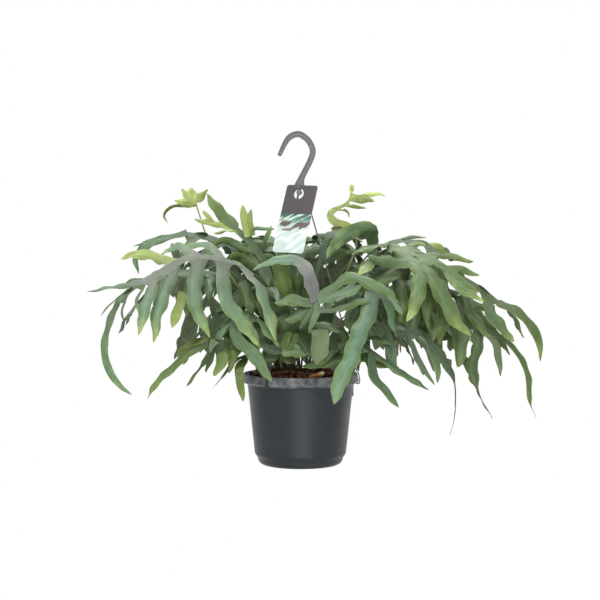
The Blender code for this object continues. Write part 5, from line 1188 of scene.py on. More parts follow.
def finish_frond(name, leaf, stalk, looks):
    """The leaf given its thickness, its underside and rim in the paler look, and its stalk."""
    piece = add_piece(f"leaf_of_{name}", mesh_of(f"leaf_of_{name}", leaf), looks, (name,))
    wall = piece.modifiers.new("leaf_thickness", "SOLIDIFY")
    wall.thickness, wall.offset = LEAF_THICKNESS, -1
    wall.material_offset = wall.material_offset_rim = 1
    apply_modifiers(piece)
    piece.data.set_sharp_from_angle(angle=LEAF_EDGE)
    join(piece, add_piece(f"stalk_of_{name}", mesh_of(f"stalk_of_{name}", [stalk]), looks))


def ground_of(nodes):
    """The pot, hanger, tag, mix and rhizomes as things that fronds keep clear of."""
    ground = Ground()
    for name, obj in nodes.items():
        if name.startswith("frond_"):
            continue
        points = np.empty(3 * len(obj.data.vertices))
        obj.data.vertices.foreach_get("co", points)
        ground.add(points.reshape(-1, 3), [tuple(face.vertices) for face in obj.data.polygons], name)
    return ground


def build_fronds(nodes, looks):
    """All fronds, grown in the order of their solids: every midrib, then the lobes frond by frond."""
    random = np.random.RandomState(SEED)
    detail = np.random.RandomState(SEED + 1)
    ground = ground_of(nodes)
    fronds = list(PLACED) + [arching_frond(row) for row in ARCHING]
    grown = []
    for number, frond in enumerate(fronds):
        name = f"frond_{number + 1:02d}"
        rib = grown_rib(ground, frond, name)
        if rib is not None:
            grown.append((name, number, frond, *rib))
    for name, number, frond, ribs, strip in grown:
        lobes = grown_lobes(name, frond, ribs, strip, ground, random)
        if name in LOOSE:
            build_loose_frond(name, *LOOSE[name], looks, np.random.RandomState(SEED + number))
            continue
        if name in SEEN:
            frond = SEEN[name]
            ribs = rib_frame(np.array(frond["rib"]) * CM, frond["roll"])
            lobes = seen_lobes(frond, ribs)
        build_frond(name, number, frond, ribs, lobes, looks, detail)


BLUISH_LEAF = (0.1, 0.193, 0.113, 1)
YELLOW_GREEN_LEAF = (0.118, 0.19, 0.02, 1)
LIME_LEAF = (0.42, 0.52, 0.16, 1)
PURPLE_GREY_RIB = (0.125, 0.128, 0.118, 1)
# Pale yellow-green of the lobes' edges, partly the margin's own colour and partly a painted rim highlight
PALE_MARGIN_AND_RIM_HIGHLIGHT = (0.33, 0.42, 0.2, 1)
LEAF_UNDERSIDE = (0.22, 0.27, 0.16, 1)
STALK_BROWN = (0.1, 0.085, 0.045, 1)
STALK_OLIVE = (0.13, 0.16, 0.08, 1)
ANTHRACITE = (0.024, 0.029, 0.033, 1)
# Pale grey of the pot's dust specks and of the painted highlight on its rim
RIM_SHEEN_AND_DUST_GREY = (0.24, 0.245, 0.25, 1)
HANGER_GREY = (0.152, 0.158, 0.164, 1)
HANGER_SCUFF = (0.2, 0.205, 0.21, 1)
CLIP_GREY = (0.045, 0.048, 0.051, 1)
PEAT_BROWN = (0.045, 0.024, 0.014, 1)
BARK_RED = (0.22, 0.08, 0.04, 1)
BARK_TAN = (0.3, 0.19, 0.1, 1)
RHIZOME_GOLD = (0.2, 0.09, 0.03, 1)
RHIZOME_BROWN = (0.045, 0.02, 0.012, 1)
SCALE_TAN = (0.3, 0.17, 0.07, 1)
TIP_RUST = (0.42, 0.13, 0.03, 1)
TIP_GOLD = (0.6, 0.3, 0.08, 1)
TIP_CREAM = (0.72, 0.66, 0.34, 1)
TAG_TAUPE = (0.056, 0.046, 0.055, 1)
TAG_TAUPE_GRAIN = (0.067, 0.057, 0.065, 1)
TAG_DEEP_GREEN = (0.03, 0.11, 0.075, 1)
TAG_GREEN = (0.2, 0.4, 0.3, 1)
TAG_STREAK = (0.6, 0.76, 0.68, 1)
TAG_MIST = (0.75, 0.84, 0.82, 1)
TAG_WHITE = (0.86, 0.91, 0.9, 1)
TAG_PALE_LEAF = (0.62, 0.77, 0.7, 1)
TAG_DARK_SPOT = (0.09, 0.035, 0.03, 1)
CARD_WHITE = (0.7, 0.7, 0.69, 1)
CARD_GRAIN = (0.78, 0.78, 0.77, 1)
FLOOR_GREY = (0.86, 0.86, 0.86, 1)


class Look:
    """A finish being wired together: one Principled shader and the nodes that feed it."""

    def __init__(self, name, roughness, specular=0.5):
        self.material = bpy.data.materials.new(name)
        self.material.use_nodes = True
        self.tree = self.material.node_tree
        self.shader = self.tree.nodes["Principled BSDF"]
        self.shader.inputs["Roughness"].default_value = roughness
        self.shader.inputs["Specular IOR Level"].default_value = specular

    def feed(self, socket, value):
        """A socket joined to another node's output, given a value, or left as it is for None."""
        if isinstance(value, bpy.types.NodeSocket):
            self.tree.links.new(value, socket)
        elif value is not None:
            socket.default_value = value

    def node(self, kind, *values, **settings):
        """A node with its settings, and its inputs in order: a value, another node's output, or None."""
        made = self.tree.nodes.new("ShaderNode" + kind)
        for key, value in settings.items():
            setattr(made, key, value)
        for socket, value in zip(made.inputs, values):
            self.feed(socket, value)
        return made

    def math(self, operation, a, b=None, c=None):
        """A sum of one to three values."""
        return self.node("Math", a, b, c, operation=operation).outputs[0]

    def times(self, a, b):
        """The product of two values."""
        return self.math("MULTIPLY", a, b)

    def sloped(self, value, slope, level):
        """The value times a slope, plus a level."""
        return self.math("MULTIPLY_ADD", value, slope, level)

    def between(self, value, low, high, new_low=0, new_high=1):
        """The value eased from one range into another."""
        made = self.node("MapRange", value, low, high, new_low, new_high, interpolation_type="SMOOTHSTEP")
        return made.outputs[0]

    def blend(self, share, first, second, way="MIX"):
        """Two colours mixed by a share."""
        made = self.node("Mix", data_type="RGBA", blend_type=way)
        for number, value in ((0, share), (6, first), (7, second)):
            self.feed(made.inputs[number], value)
        return made.outputs[2]

    def shaded(self, colour, bright):
        """A colour times a brightness."""
        factor = self.node("CombineColor", bright, bright, bright).outputs[0]
        return self.blend(1, colour, factor, "MULTIPLY")

    def noise(self, scale, detail=3, rough=0.5, place=None):
        """Cloudy noise, on the object's own coordinates unless a place is given."""
        place = place or self.place()
        return self.node("TexNoise", place, None, scale, detail, rough).outputs[0]

    def place(self):
        """The object's own coordinates."""
        return self.node("TexCoord").outputs["Object"]

    def mapped(self, place, shift, turn, scale):
        """Coordinates shifted, turned and scaled."""
        return self.node("Mapping", place, shift, turn, scale).outputs[0]

    def surface(self):
        """The flat coordinates: across the surface, and along it."""
        flat = self.node("UVMap", uv_map="surface").outputs[0]
        apart = self.node("SeparateXYZ", flat)
        return apart.outputs[0], apart.outputs[1]

    def tint(self):
        """The four numbers painted on the surface."""
        painted = self.node("VertexColor", layer_name="tint")
        apart = self.node("SeparateColor", painted.outputs[0])
        return (*apart.outputs[:3], painted.outputs[1])

    def colour(self, value):
        """The surface's colour."""
        self.feed(self.shader.inputs["Base Color"], value)

    def rough(self, value):
        """How dull the surface is."""
        self.feed(self.shader.inputs["Roughness"], value)

    def bump(self, height, strength, distance):
        """Fine relief from a height."""
        made = self.node("Bump")
        for name, value in (("Strength", strength), ("Distance", distance), ("Height", height)):
            self.feed(made.inputs[name], value)
        self.feed(self.shader.inputs["Normal"], made.outputs[0])


def leaf_colour(look):
    """The leaf's colour from its tint, mottled, with side veins, midvein and a pale margin that is partly a
    painted rim highlight, and the veins' height.

    A darker leaf is a deeper green: its red and blue fall faster than its green.
    """
    across, along = look.surface()
    rib, lime, warm, tone = look.tint()
    place = look.place()
    edge = look.math("ABSOLUTE", look.sloped(across, 2, -1))
    cloud = look.noise(38, 3, 0.55, place)
    mottle = look.noise(190, 4, 0.6, place)
    fresh = look.sloped(look.between(edge, 0.3, 1), 0.4, warm)
    colour = look.blend(fresh, BLUISH_LEAF, YELLOW_GREEN_LEAF)
    rib_here = look.times(rib, look.between(cloud, 0.25, 0.7, 0.65, 1))
    colour = look.blend(rib_here, colour, PURPLE_GREY_RIB)
    lime_here = look.times(lime, look.between(cloud, 0.3, 0.7, 0.75, 1))
    colour = look.blend(lime_here, colour, LIME_LEAF)
    swing = look.sloped(edge, -5, look.times(along, VEIN_RADIANS_PER_METRE))
    swing = look.math("ADD", swing, look.times(cloud, 14))
    vein = look.math("POWER", look.sloped(look.math("SINE", swing), 0.5, 0.5), 3)
    middle = look.between(edge, 0, 0.09, 1, 0)
    # Paler at each edge, more so where the lobe is lime: partly the margin's own colour, partly a painted rim
    # highlight.
    rim = look.times(look.between(edge, 0.9, 0.99), look.sloped(lime, 0.3, 0.4))
    colour = look.blend(rim, colour, PALE_MARGIN_AND_RIM_HIGHLIGHT)
    # The tone sets the lightness: partly at random, partly painted light and shade, darker for lobes low or
    # deep in the plant and lighter for front lobes that catch the light. The deeper green of darker leaves
    # follows it.
    bright = look.times(look.between(mottle, 0.3, 0.7, 0.93, 1.06), look.sloped(tone, 1.02, 0.36))
    bright = look.times(bright, look.between(cloud, 0.3, 0.7, 0.88, 1.12))
    bright = look.times(bright, look.sloped(vein, -0.04, 1))
    bright = look.times(bright, look.sloped(middle, -0.1, 1))
    height = look.sloped(vein, -0.3, look.times(mottle, 0.35))
    height = look.sloped(middle, -0.9, height)
    red, blue = (look.math("POWER", bright, power) for power in (1.1, 1.35))
    shade = look.node("CombineColor", red, bright, blue).outputs[0]
    return look.blend(1, colour, shade, "MULTIPLY"), height


def leaf_look():
    """The upper side: bluish to yellow-green, grey-purple by the midrib, lime at the tip, waxy."""
    look = Look("leaf_upper_side", 0.42, 0.4)
    colour, height = leaf_colour(look)
    look.colour(colour)
    look.bump(height, 0.4, 0.0005)
    waxy = look.between(look.noise(70), 0.3, 0.7, 0.35, 0.46)
    look.rough(look.sloped(look.tint()[0], 0.2, waxy))
    return look.material


def leaf_back_look():
    """The underside: the same pattern, paler, greyer and duller, with its veins standing out."""
    look = Look("leaf_underside", 0.62, 0.25)
    colour, height = leaf_colour(look)
    look.colour(look.blend(0.62, colour, LEAF_UNDERSIDE))
    look.bump(look.times(height, -1), 0.6, 0.0006)
    return look.material


def stalk_look():
    """Stalks: dark brown by the mix, olive higher up, grey-purple along the blade, with fine dark streaks."""
    look = Look("frond_stalk", 0.5, 0.3)
    height, lime = look.tint()[:2]
    streak = look.noise(260)
    colour = look.blend(look.between(height, 0.05, 0.6), STALK_BROWN, STALK_OLIVE)
    colour = look.blend(look.between(height, 0.75, 1), colour, PURPLE_GREY_RIB)
    colour = look.blend(look.times(lime, 0.8), colour, LIME_LEAF)
    look.colour(look.shaded(colour, look.between(streak, 0.3, 0.7, 0.75, 1.15)))
    look.bump(streak, 0.3, 0.0003)
    return look.material


def pot_look():
    """Moulded anthracite plastic: a satin skin with a fine grain, faint flow marks and pale dust specks, and
    a painted highlight: the rim band in mottled patches of pale grey.
    """
    look = Look("anthracite_pot", 0.42, 0.25)
    grain = look.noise(1700, 2)
    flow = look.noise(1, 4, 0.5, look.mapped(look.place(), None, None, (14, 14, 55)))
    dust = look.noise(320, 5, 0.7)
    height = look.node("SeparateXYZ", look.place()).outputs[2]
    # The rim band above this height is painted a much paler grey in mottled patches: a painted highlight on
    # the skirt, not wear.
    rim = look.between(height, 0.117, 0.1185)
    scuffed = look.between(look.noise(60, 5, 0.7), 0.35, 0.68, 0.15, 1)
    dust_and_rim_sheen = look.math("MAXIMUM", look.between(dust, 0.62, 0.8, 0, 0.08), look.times(rim, scuffed))
    colour = look.blend(dust_and_rim_sheen, ANTHRACITE, RIM_SHEEN_AND_DUST_GREY)
    look.colour(look.shaded(colour, look.between(flow, 0.3, 0.7, 0.9, 1.1)))
    look.rough(look.between(flow, 0.3, 0.7, 0.33, 0.4))
    look.bump(grain, 0.12, 0.0002)
    return look.material


def hanger_look():
    """Mid-grey moulded plastic of the hook and the arms, lightly scuffed, darker on the clips."""
    look = Look("grey_hanger", 0.45, 0.35)
    scuff = look.noise(140)
    colour = look.blend(look.between(scuff, 0.45, 0.75, 0, 0.35), HANGER_GREY, HANGER_SCUFF)
    look.colour(look.blend(look.tint()[0], colour, CLIP_GREY))
    look.rough(look.between(scuff, 0.3, 0.7, 0.4, 0.55))
    look.bump(look.noise(900, 2), 0.02, 0.0002)
    return look.material


def mix_look():
    """Peat and bark: nearly black brown with rusty and tan pieces, by each chip's own number."""
    look = Look("bark_and_peat", 0.95, 0.2)
    kind, light = look.tint()[:2]
    grain = look.noise(600, 5, 0.7)
    colour = look.blend(look.between(kind, 0.45, 0.6), PEAT_BROWN, BARK_RED)
    colour = look.blend(look.between(kind, 0.86, 0.95), colour, BARK_TAN)
    bright = look.times(look.between(grain, 0.3, 0.7, 0.45, 1.4), look.between(light, 0, 1, 0.6, 1.3))
    look.colour(look.shaded(colour, bright))
    look.bump(grain, 0.8, 0.0012)
    return look.material


def rhizome_look():
    """Golden scales of the creeping rhizome over a rusty brown skin, its growing tip cream."""
    look = Look("rhizome_fur", 0.8, 0.3)
    scale, gold, cream, _ = look.tint()
    fleck = look.noise(500, 4, 0.7)
    share = look.between(fleck, 0.35, 0.65)
    colour = look.blend(share, RHIZOME_BROWN, RHIZOME_GOLD)
    colour = look.blend(look.times(scale, 0.4), colour, SCALE_TAN)
    colour = look.blend(gold, colour, look.blend(share, TIP_RUST, TIP_GOLD))
    look.colour(look.blend(cream, colour, TIP_CREAM))
    look.bump(fleck, 0.7, 0.001)
    return look.material


def tag_look():
    """The card's printed face: a plain taupe head, a green band, then pale leaf shapes fading to white."""
    look = Look("printed_tag_card", 0.38)
    down = look.surface()[1]
    flat = look.node("UVMap", uv_map="surface").outputs[0]
    card = look.mapped(flat, (2, 1, 0), (0, 0, 0.6), (1, 2.1, 1))
    slanting = look.mapped(card, None, None, (1.1, 6.5, 1))
    streaks = look.noise(1.5, 2, 0.5, slanting)
    broad = look.mapped(card, (3, 1, 0), (0, 0, -1.3), (1.4, 3.6, 1))
    shapes = look.noise(1.6, 1.5, 0.4, broad)
    blot = look.mapped(card, (5, 2, 0), None, (2, 5, 1))
    spots = look.noise(1.2, 1, 0.4, blot)
    green = look.blend(look.between(down, 0.45, 0.56), TAG_DEEP_GREEN, TAG_GREEN)
    green = look.blend(look.between(streaks, 0.5, 0.64), green, TAG_STREAK)
    picture = look.blend(look.between(down, 0.5, 0.72), green, TAG_MIST)
    pale = look.blend(look.between(shapes, 0.42, 0.56), TAG_WHITE, TAG_PALE_LEAF)
    picture = look.blend(look.between(down, 0.62, 0.7), picture, pale)
    dark = look.times(look.between(spots, 0.53, 0.57), look.between(down, 0.5, 0.56))
    dark = look.times(dark, look.between(down, 0.66, 0.7, 1, 0))
    picture = look.blend(look.times(dark, 0.9), picture, TAG_DARK_SPOT)
    taupe = look.blend(look.noise(900, 2), TAG_TAUPE, TAG_TAUPE_GRAIN)
    look.colour(look.blend(look.between(down, 0.425, 0.435), taupe, picture))
    look.bump(look.noise(1200, 2), 0.05, 0.0002)
    return look.material


def tag_back_look():
    """The card's plain white back and cut edges."""
    look = Look("tag_card_back", 0.5)
    look.colour(look.blend(look.noise(700), CARD_WHITE, CARD_GRAIN))
    return look.material


def placed(points, matrix):
    """Grid points carried by a 4 by 4 matrix: rotation times point plus shift."""
    m = np.array(matrix)
    return points @ m[:3, :3].T + m[:3, 3]


def turned_outwards(mesh, weld=None):
    """The same closed mesh with its faces turned outwards, near points made one where a weld is given."""
    shape = bmesh.new()
    shape.from_mesh(mesh)
    if weld:
        bmesh.ops.remove_doubles(shape, verts=shape.verts, dist=weld)
    bmesh.ops.recalc_face_normals(shape, faces=shape.faces)
    shape.to_mesh(mesh)
    shape.free()
    return mesh


def closed(mesh):
    """The same closed mesh with its faces turned outwards and its corners kept sharp."""
    turned_outwards(mesh)
    mesh.set_sharp_from_angle(angle=MOULDED_EDGE)
    return mesh


def skirt_facets(angle, z, radius):
    """How far the skirt's radius drops: twenty-four slight facets and a narrow groove at every seam."""
    share = (np.degrees(angle) / 15) % 1 - 0.5
    facet = SKIRT_RADIUS * (math.cos(math.radians(7.5)) / np.cos(np.radians(15 * share)) - 1)
    groove = -0.0004 * np.exp(-((0.5 - np.abs(share)) / 0.022) ** 2)
    on_skirt = (radius > SKIRT_RADIUS - 0.0028) & (z > POT_HEIGHT - SKIRT_DEPTH - 0.0012)
    return np.where(on_skirt, 0.5 * facet + groove, 0)


def build_pot(look):
    """The pot: its rounded profile carried round the axis, a faceted skirt, and drain holes in the floor."""
    top, skirt_foot = POT_HEIGHT, POT_HEIGHT - SKIRT_DEPTH
    profile = (
        (0, 0), (BASE_RADIUS - 0.002, 0),
        (BASE_RADIUS + 0.001, 0.0002), (FOOT_RADIUS - 0.0035, 0.0022),
        (FOOT_RADIUS - 0.001, 0.006), (FOOT_RADIUS, STEP_HEIGHT - 0.0042),
        (WALL_FOOT_RADIUS, STEP_HEIGHT + 0.001), (WALL_FOOT_RADIUS + 0.0005, STEP_HEIGHT + 0.006),
        (WALL_TOP_RADIUS, skirt_foot - 0.0025), (SKIRT_RADIUS - 0.003, skirt_foot - 0.001),
        (SKIRT_RADIUS - 0.0002, skirt_foot + 0.0002), (SKIRT_RADIUS, skirt_foot + 0.0015),
        (RIM_RADIUS, top - 0.0008), (RIM_RADIUS - 0.0008, top),
        (RIM_RADIUS - SKIRT_WALL, top - 0.0006), (RIM_RADIUS - SKIRT_WALL - 0.002, top - 0.0018),
        (WALL_TOP_RADIUS - POT_WALL, skirt_foot + 0.002), (WALL_FOOT_RADIUS - POT_WALL, STEP_HEIGHT + 0.002),
        (FOOT_RADIUS - POT_WALL, STEP_HEIGHT), (FOOT_RADIUS - 0.003, 0.006),
        (BASE_RADIUS - 0.003, FLOOR_THICKNESS), (0, FLOOR_THICKNESS),
    )
    shell = patch(turned(rounded(profile, 0.0022), 288, skirt_facets))
    mesh = closed(mesh_of("hanging_pot_shell", [shell], WELD))
    pot = add_piece("hanging_pot_shell", mesh, [look], ("hanging_pot",))
    hole = turned([(0, -0.004), (DRAIN_RADIUS, -0.004), (DRAIN_RADIUS, 0.008), (0, 0.008)], 32)
    angle = 2 * math.pi * np.arange(DRAIN_HOLES) / DRAIN_HOLES
    centres = DRAIN_RING_RADIUS * np.column_stack([np.cos(angle), np.sin(angle), 0 * angle])
    holes = mesh_of("drain_cutter", [patch(hole + centre) for centre in centres], WELD)
    cutter = linked("drain_cutter", closed(holes))
    cut = pot.modifiers.new("drain_holes", "BOOLEAN")
    cut.operation, cut.solver, cut.object = "DIFFERENCE", "EXACT", cutter
    apply_modifiers(pot)
    bpy.data.objects.remove(cutter)
    pot.data.set_sharp_from_angle(angle=MOULDED_EDGE)


def build_mix(look, random):
    """The mound of mix, z = height(x, y) plus three crossed sine waves, strewn with bark chips and crumbs."""
    inner = WALL_TOP_RADIUS - POT_WALL - 0.0004
    radius = inner * np.linspace(0, 1, 40)[:, None]
    angle = np.linspace(0, 2 * math.pi, 97)[None]
    x, y = radius * np.cos(angle), radius * np.sin(angle)
    rough = 0.0007 * (np.sin(310 * x + 90 * y) + np.sin(270 * y - 140 * x) + np.sin(520 * x * y / 0.05 + 3))
    z = mix_height(x, y) - 0.0025 + rough * (1 - (radius / inner) ** 8)
    top = np.stack([x, y, z], axis=-1)
    clear = POT_WALL + 0.0006
    wall = turned([(inner, top[-1, 0, 2]), (inner - 0.0002, 0.121), (WALL_FOOT_RADIUS - clear, 0.0174),
                   (FOOT_RADIUS - clear, 0.0155), (BASE_RADIUS - 0.0034, 0.0028), (0, 0.0028)], 96)
    wall[0] = top[-1]
    mound = [patch(top, tint=(0.3, 0.3, 0, 0)), patch(wall, tint=(0.3, 0.3, 0, 0))]
    piece = add_piece("potting_mix_mound", closed(mesh_of("potting_mix_mound", mound)), [look],
                      ("potting_mix",))
    join(piece, add_piece("bark_chips", bark_chips(random, 1500, inner), [look]))


def bark_chips(random, count, inner):
    """Flat broken chips: a jittered box, scaled, turned by its own angles and laid on the mound."""
    box = np.array(list(itertools.product((-1, 1), repeat=3)), float)
    faces = np.array([(0, 1, 3, 2), (4, 6, 7, 5), (0, 4, 5, 1), (2, 3, 7, 6), (0, 2, 6, 4), (1, 5, 7, 3)])
    size = (0.0007 + 0.0042 * random.uniform(0, 1, (count, 1)) ** 2) * np.array([[1.0, 0.6, 0.3]])
    size *= random.uniform(0.6, 1.3, (count, 3))
    points = box[None] * size[:, None] * random.uniform(0.6, 1.1, (count, 8, 3))
    turn, tilt = random.uniform(0, 2 * math.pi, count), random.normal(0, 0.45, (2, count))
    for angle, (a, b) in ((tilt[0], (1, 2)), (tilt[1], (0, 2)), (turn, (0, 1))):
        c, s = np.cos(angle)[:, None], np.sin(angle)[:, None]
        first, second = points[..., a].copy(), points[..., b].copy()
        points[..., a], points[..., b] = c * first - s * second, s * first + c * second
    reach = (inner - 0.004) * np.sqrt(random.uniform(0, 1, count))
    way = random.uniform(0, 2 * math.pi, count)
    x, y = reach * np.cos(way), reach * np.sin(way)
    centre = np.stack([x, y, mix_height(x, y) - 0.0015 + 0.5 * size[:, 2]], axis=1)
    points += centre[:, None]
    mesh = bpy.data.meshes.new("bark_chips")
    corners = (faces[None] + 8 * np.arange(count)[:, None, None]).reshape(-1, 4)
    mesh.from_pydata(points.reshape(-1, 3), [], corners)
    mesh.uv_layers.new(name="surface")
    layer = mesh.color_attributes.new("tint", "FLOAT_COLOR", "CORNER")
    tint = np.repeat(random.uniform(0, 1, (count, 4)), 24, axis=0)
    layer.data.foreach_set("color", tint.reshape(-1))
    return turned_outwards(mesh)


def build_rhizomes(look, random):
    """Rhizomes: a lumpy bar carried along its line, covered in narrow scales that lie back along it."""
    for number, rows in enumerate(RHIZOMES):
        table = np.array(rows) * CM
        path = smooth_path(table, 40)
        half = path[:, 2] / 2
        bend = 0.0012 * np.sin(np.arange(40) * 0.55 + 2 * number)[:, None] * np.array([[0.6, 1.0]])
        line = np.column_stack([path[:, :2] + bend, mix_height(path[:, 0], path[:, 1]) + half * 0.45])
        radius = half * (0.72 + 0.2 * np.sin(np.arange(40) * 0.7 + number) * np.sin(np.arange(40) * 0.31))
        body = tube(line, radius, 16)
        name = f"furry_rhizome_{number + 1}"
        scales = scale_patch(line, radius, random, 420)
        scales += growing_tip(random) if number == 1 else []
        mesh = mesh_of(name, [patch(body, tint=(0.1, 0, 0, 0)), *scales])
        add_piece(name, mesh, [look], (f"rhizome_{number + 1}",))


def scale_patch(line, radius, random, count, tint=(0.8, 0, 0, 0)):
    """Narrow pointed scales: foot on the skin, middle raised, tip pointing onwards."""
    ahead, across = carried_across(line, np.array([0.3, 0.5, 0.8]))
    up = np.cross(across, ahead)
    at = random.randint(1, len(line) - 2, count)
    angle = random.uniform(0, 2 * math.pi, count)[:, None]
    out = np.cos(angle) * across[at] + np.sin(angle) * up[at]
    sideways = np.cross(ahead[at], out)
    foot = line[at] + out * (radius[at] * 0.96)[:, None]
    length = random.uniform(0.0018, 0.0036, count)[:, None]
    lift = random.uniform(0.15, 0.6, count)[:, None]
    points = []
    for share, width in ((0, 0.0005), (0.5, 0.0004), (1, 0.00003)):
        centre = foot + share * length * (ahead[at] + lift * share * out)
        edges = (centre - width * sideways, centre + 0.0002 * out, centre + width * sideways)
        points.append(np.stack(edges, axis=1))
    grids = np.stack(points, axis=1)
    return [patch(grid, tint=tint) for grid in grids]


def growing_tip(random):
    """The rhizome's golden growing end by the rim: a blunt cone on a bent line, cream at its point."""
    line = smooth_path(np.array(GROWING_TIP) * CM, 16)
    radius = 0.0045 * np.interp(np.linspace(0, 1, 16), (0, 0.3, 0.7, 0.92, 1), (0.7, 1, 0.85, 0.5, 0.1))
    grid = tube(line, radius, 16)
    tint = np.zeros(grid.shape[:2] + (4,))
    tint[..., 1] = 1
    tint[..., 2] = np.clip(np.linspace(-2, 1.6, len(grid)), 0, 1)[:, None]
    scales = scale_patch(line[:11], radius[:11], random, 90, (0.8, 1, 0, 0))
    return [patch(grid, tint=tint), *scales]


def hook_section(half, thickness, recess):
    """The hook's cross section: a bar with raised edges and a recessed web on both faces."""
    rim, slope, soft = (np.minimum(size, share * half) for size, share in
                        ((0.0012, 0.4), (0.0005, 0.15), (0.0004, 0.2)))
    right = [half, half - soft, half - rim, half - rim - slope]
    front = [thickness - 0.0004, thickness, thickness, thickness - recess]
    x = np.stack([*right, 0 * half, *(-row for row in reversed(right))], axis=1)
    y = np.stack([*front, front[-1], *reversed(front)], axis=1)
    return np.hstack([x, x[:, ::-1], x[:, :1]]), np.hstack([y, -y[:, ::-1], y[:, :1]])


def build_hook(look):
    """The hook: its ribbed section carried along the centre line, with hub, neck, peg and button."""
    rows = smooth_path(np.array([*HOOK_LINE, (-0.2, 40.25, 1.55)]) * CM, 70)
    half = rows[:, 2] / 2
    quarter = np.linspace(0, math.pi / 2, 8)[:-1]
    tip = rows[0, :2] + (half[0] * np.cos(quarter))[:, None] * unit(rows[0, :2] - rows[1, :2])
    line, half = np.vstack([tip, rows[:, :2]]), np.append(half[0] * np.sin(quarter) + 1e-5, half)
    ahead = unit(np.gradient(line, axis=0))
    side = np.column_stack([-ahead[:, 1], ahead[:, 0]])
    run = np.append(0, np.cumsum(np.linalg.norm(np.diff(line, axis=0), axis=1)))
    level = ramp(run - run[-1] + 0.02, 0.02)[:, None] ** 1.5
    side = unit(side + level * 3 * (np.sign(side[-1, 0]) * np.array([1.0, 0.0])))
    half = half + (HUB_RADIUS - 0.0004 - half[-1]) * level[:, 0] ** 2
    recess = 0.0011 * ramp(run, 0.003, 0.005) * ramp(run[-1] - run, 0.003, 0.004)
    x, y = hook_section(half, HOOK_THICKNESS / 2 * np.clip(0.5 + run / 0.004, 0, 1), recess)
    plane = line[:, None] + x[..., None] * side[:, None]
    body = np.stack([plane[..., 0], y, plane[..., 1]], axis=-1)
    caps = [np.repeat(body[[i]].mean(axis=1, keepdims=True), body.shape[1], axis=1) for i in (0, -1)]
    pieces = [patch(np.concatenate([caps[0], body, caps[1]]))]
    neck_top, neck_foot = HUB_Z + HUB_THICKNESS / 2, PEG_Z - PEG_RADIUS
    peg_end = BUTTON_BACK - 0.001
    button_middle = (BUTTON_BACK + BUTTON_FRONT) / 2
    upright, lying = Matrix.Identity(4), Matrix.Rotation(math.pi / 2, 4, "X")
    for radius, length, centre, turn in (
        (HUB_RADIUS, HUB_THICKNESS, (HUB_X, 0, neck_top), upright),
        (NECK_RADIUS, neck_top - neck_foot, (HUB_X, 0, (neck_top + neck_foot) / 2), upright),
        (PEG_RADIUS, PEG_BACK - peg_end, (PEG_X, (PEG_BACK + peg_end) / 2, PEG_Z), lying),
        (BUTTON_RADIUS, BUTTON_BACK - BUTTON_FRONT, (HUB_X, button_middle, PEG_Z), lying),
    ):
        outline = rounded(np.array([(0, -0.5), (1, -0.5), (1, 0.5), (0, 0.5)]) * (radius, length), 0.0005)
        pieces.append(patch(placed(turned(outline, 40), Matrix.Translation(centre) @ turn)))
    mesh = closed(mesh_of("moulded_hook", pieces))
    add_piece("moulded_hook", mesh, [look], ("hanger_hook",))


def build_strands(look):
    """The three arms: a round rod with a socket at the hub, and a clip bent round the skirt."""
    outside = SKIRT_RADIUS + CLIP_THICKNESS / 2 + GAP
    under = POT_HEIGHT - SKIRT_DEPTH - 0.0015
    radius, height = rounded([
        (RIM_RADIUS - 0.005, POT_HEIGHT + 0.0145),
        (RIM_RADIUS - 0.0015, POT_HEIGHT + 0.004),
        (RIM_RADIUS + 0.0018, POT_HEIGHT - 0.001),
        (outside + 0.0004, POT_HEIGHT - SKIRT_DEPTH + 0.001),
        (outside, under - 0.0002),
        (SKIRT_RADIUS - 0.0035, under - 0.0012),
    ], 0.0025, 5).T
    top, bend, foot = np.array([
        (STRAND_TOP_RADIUS, 0, HUB_Z - 2 * GAP),
        (STRAND_TOP_RADIUS + 0.0012, 0, HUB_Z - 0.005),
        (RIM_RADIUS - 0.0047, 0, POT_HEIGHT + 0.0125),
    ])
    down = foot - bend
    shares = np.append(0.01, np.linspace(0.03, 1, 12))[:, None]
    grids = (
        tube(np.vstack([top, top + (bend - top) * 0.6, bend + down * shares]), STRAND_RADIUS, 16),
        tube(np.linspace(top, bend + 0.012 * down, 6), SOCKET_RADII, 16),
        strap(np.column_stack([radius, 0 * radius, height]), CLIP_WIDTH / 2, CLIP_THICKNESS / 2),
    )
    for number, azimuth in enumerate(STRAND_AZIMUTHS):
        turn = Matrix.Rotation(math.radians(azimuth), 4, "Z")
        name = f"hanger_arm_{number + 1}"
        patches = [patch(placed(grid, turn), tint=(i // 2, 0, 0, 0)) for i, grid in enumerate(grids)]
        mesh = closed(mesh_of(name, patches))
        add_piece(name, mesh, [look], (f"hanger_strand_{number + 1}",))


def round_points(centre, radius, angle):
    """Points on a circle: centre + radius (cos(a), sin(a))."""
    return np.array(centre) + radius * np.column_stack([np.cos(angle), np.sin(angle)])


def tag_outline():
    """The card's outline with quarter circles at its corners, and the round hole."""
    half, length = TAG_SIZE[0] / 2, TAG_SIZE[1]
    quarter = np.radians(np.linspace(0, 90, 9))
    corners = []
    for x, y, start in ((half, 0, 0), (-half, 0, 90), (-half, -length, 180), (half, -length, 270)):
        centre = (x - np.sign(x) * TAG_CORNER, y - TAG_CORNER if y == 0 else y + TAG_CORNER)
        corners.append(round_points(centre, TAG_CORNER, quarter + math.radians(start)))
    around = -np.linspace(0, 2 * math.pi, 49)[:-1]
    return np.vstack(corners), round_points((TAG_HOLE_X, -TAG_HOLE_DROP), TAG_HOLE_RADIUS, around)


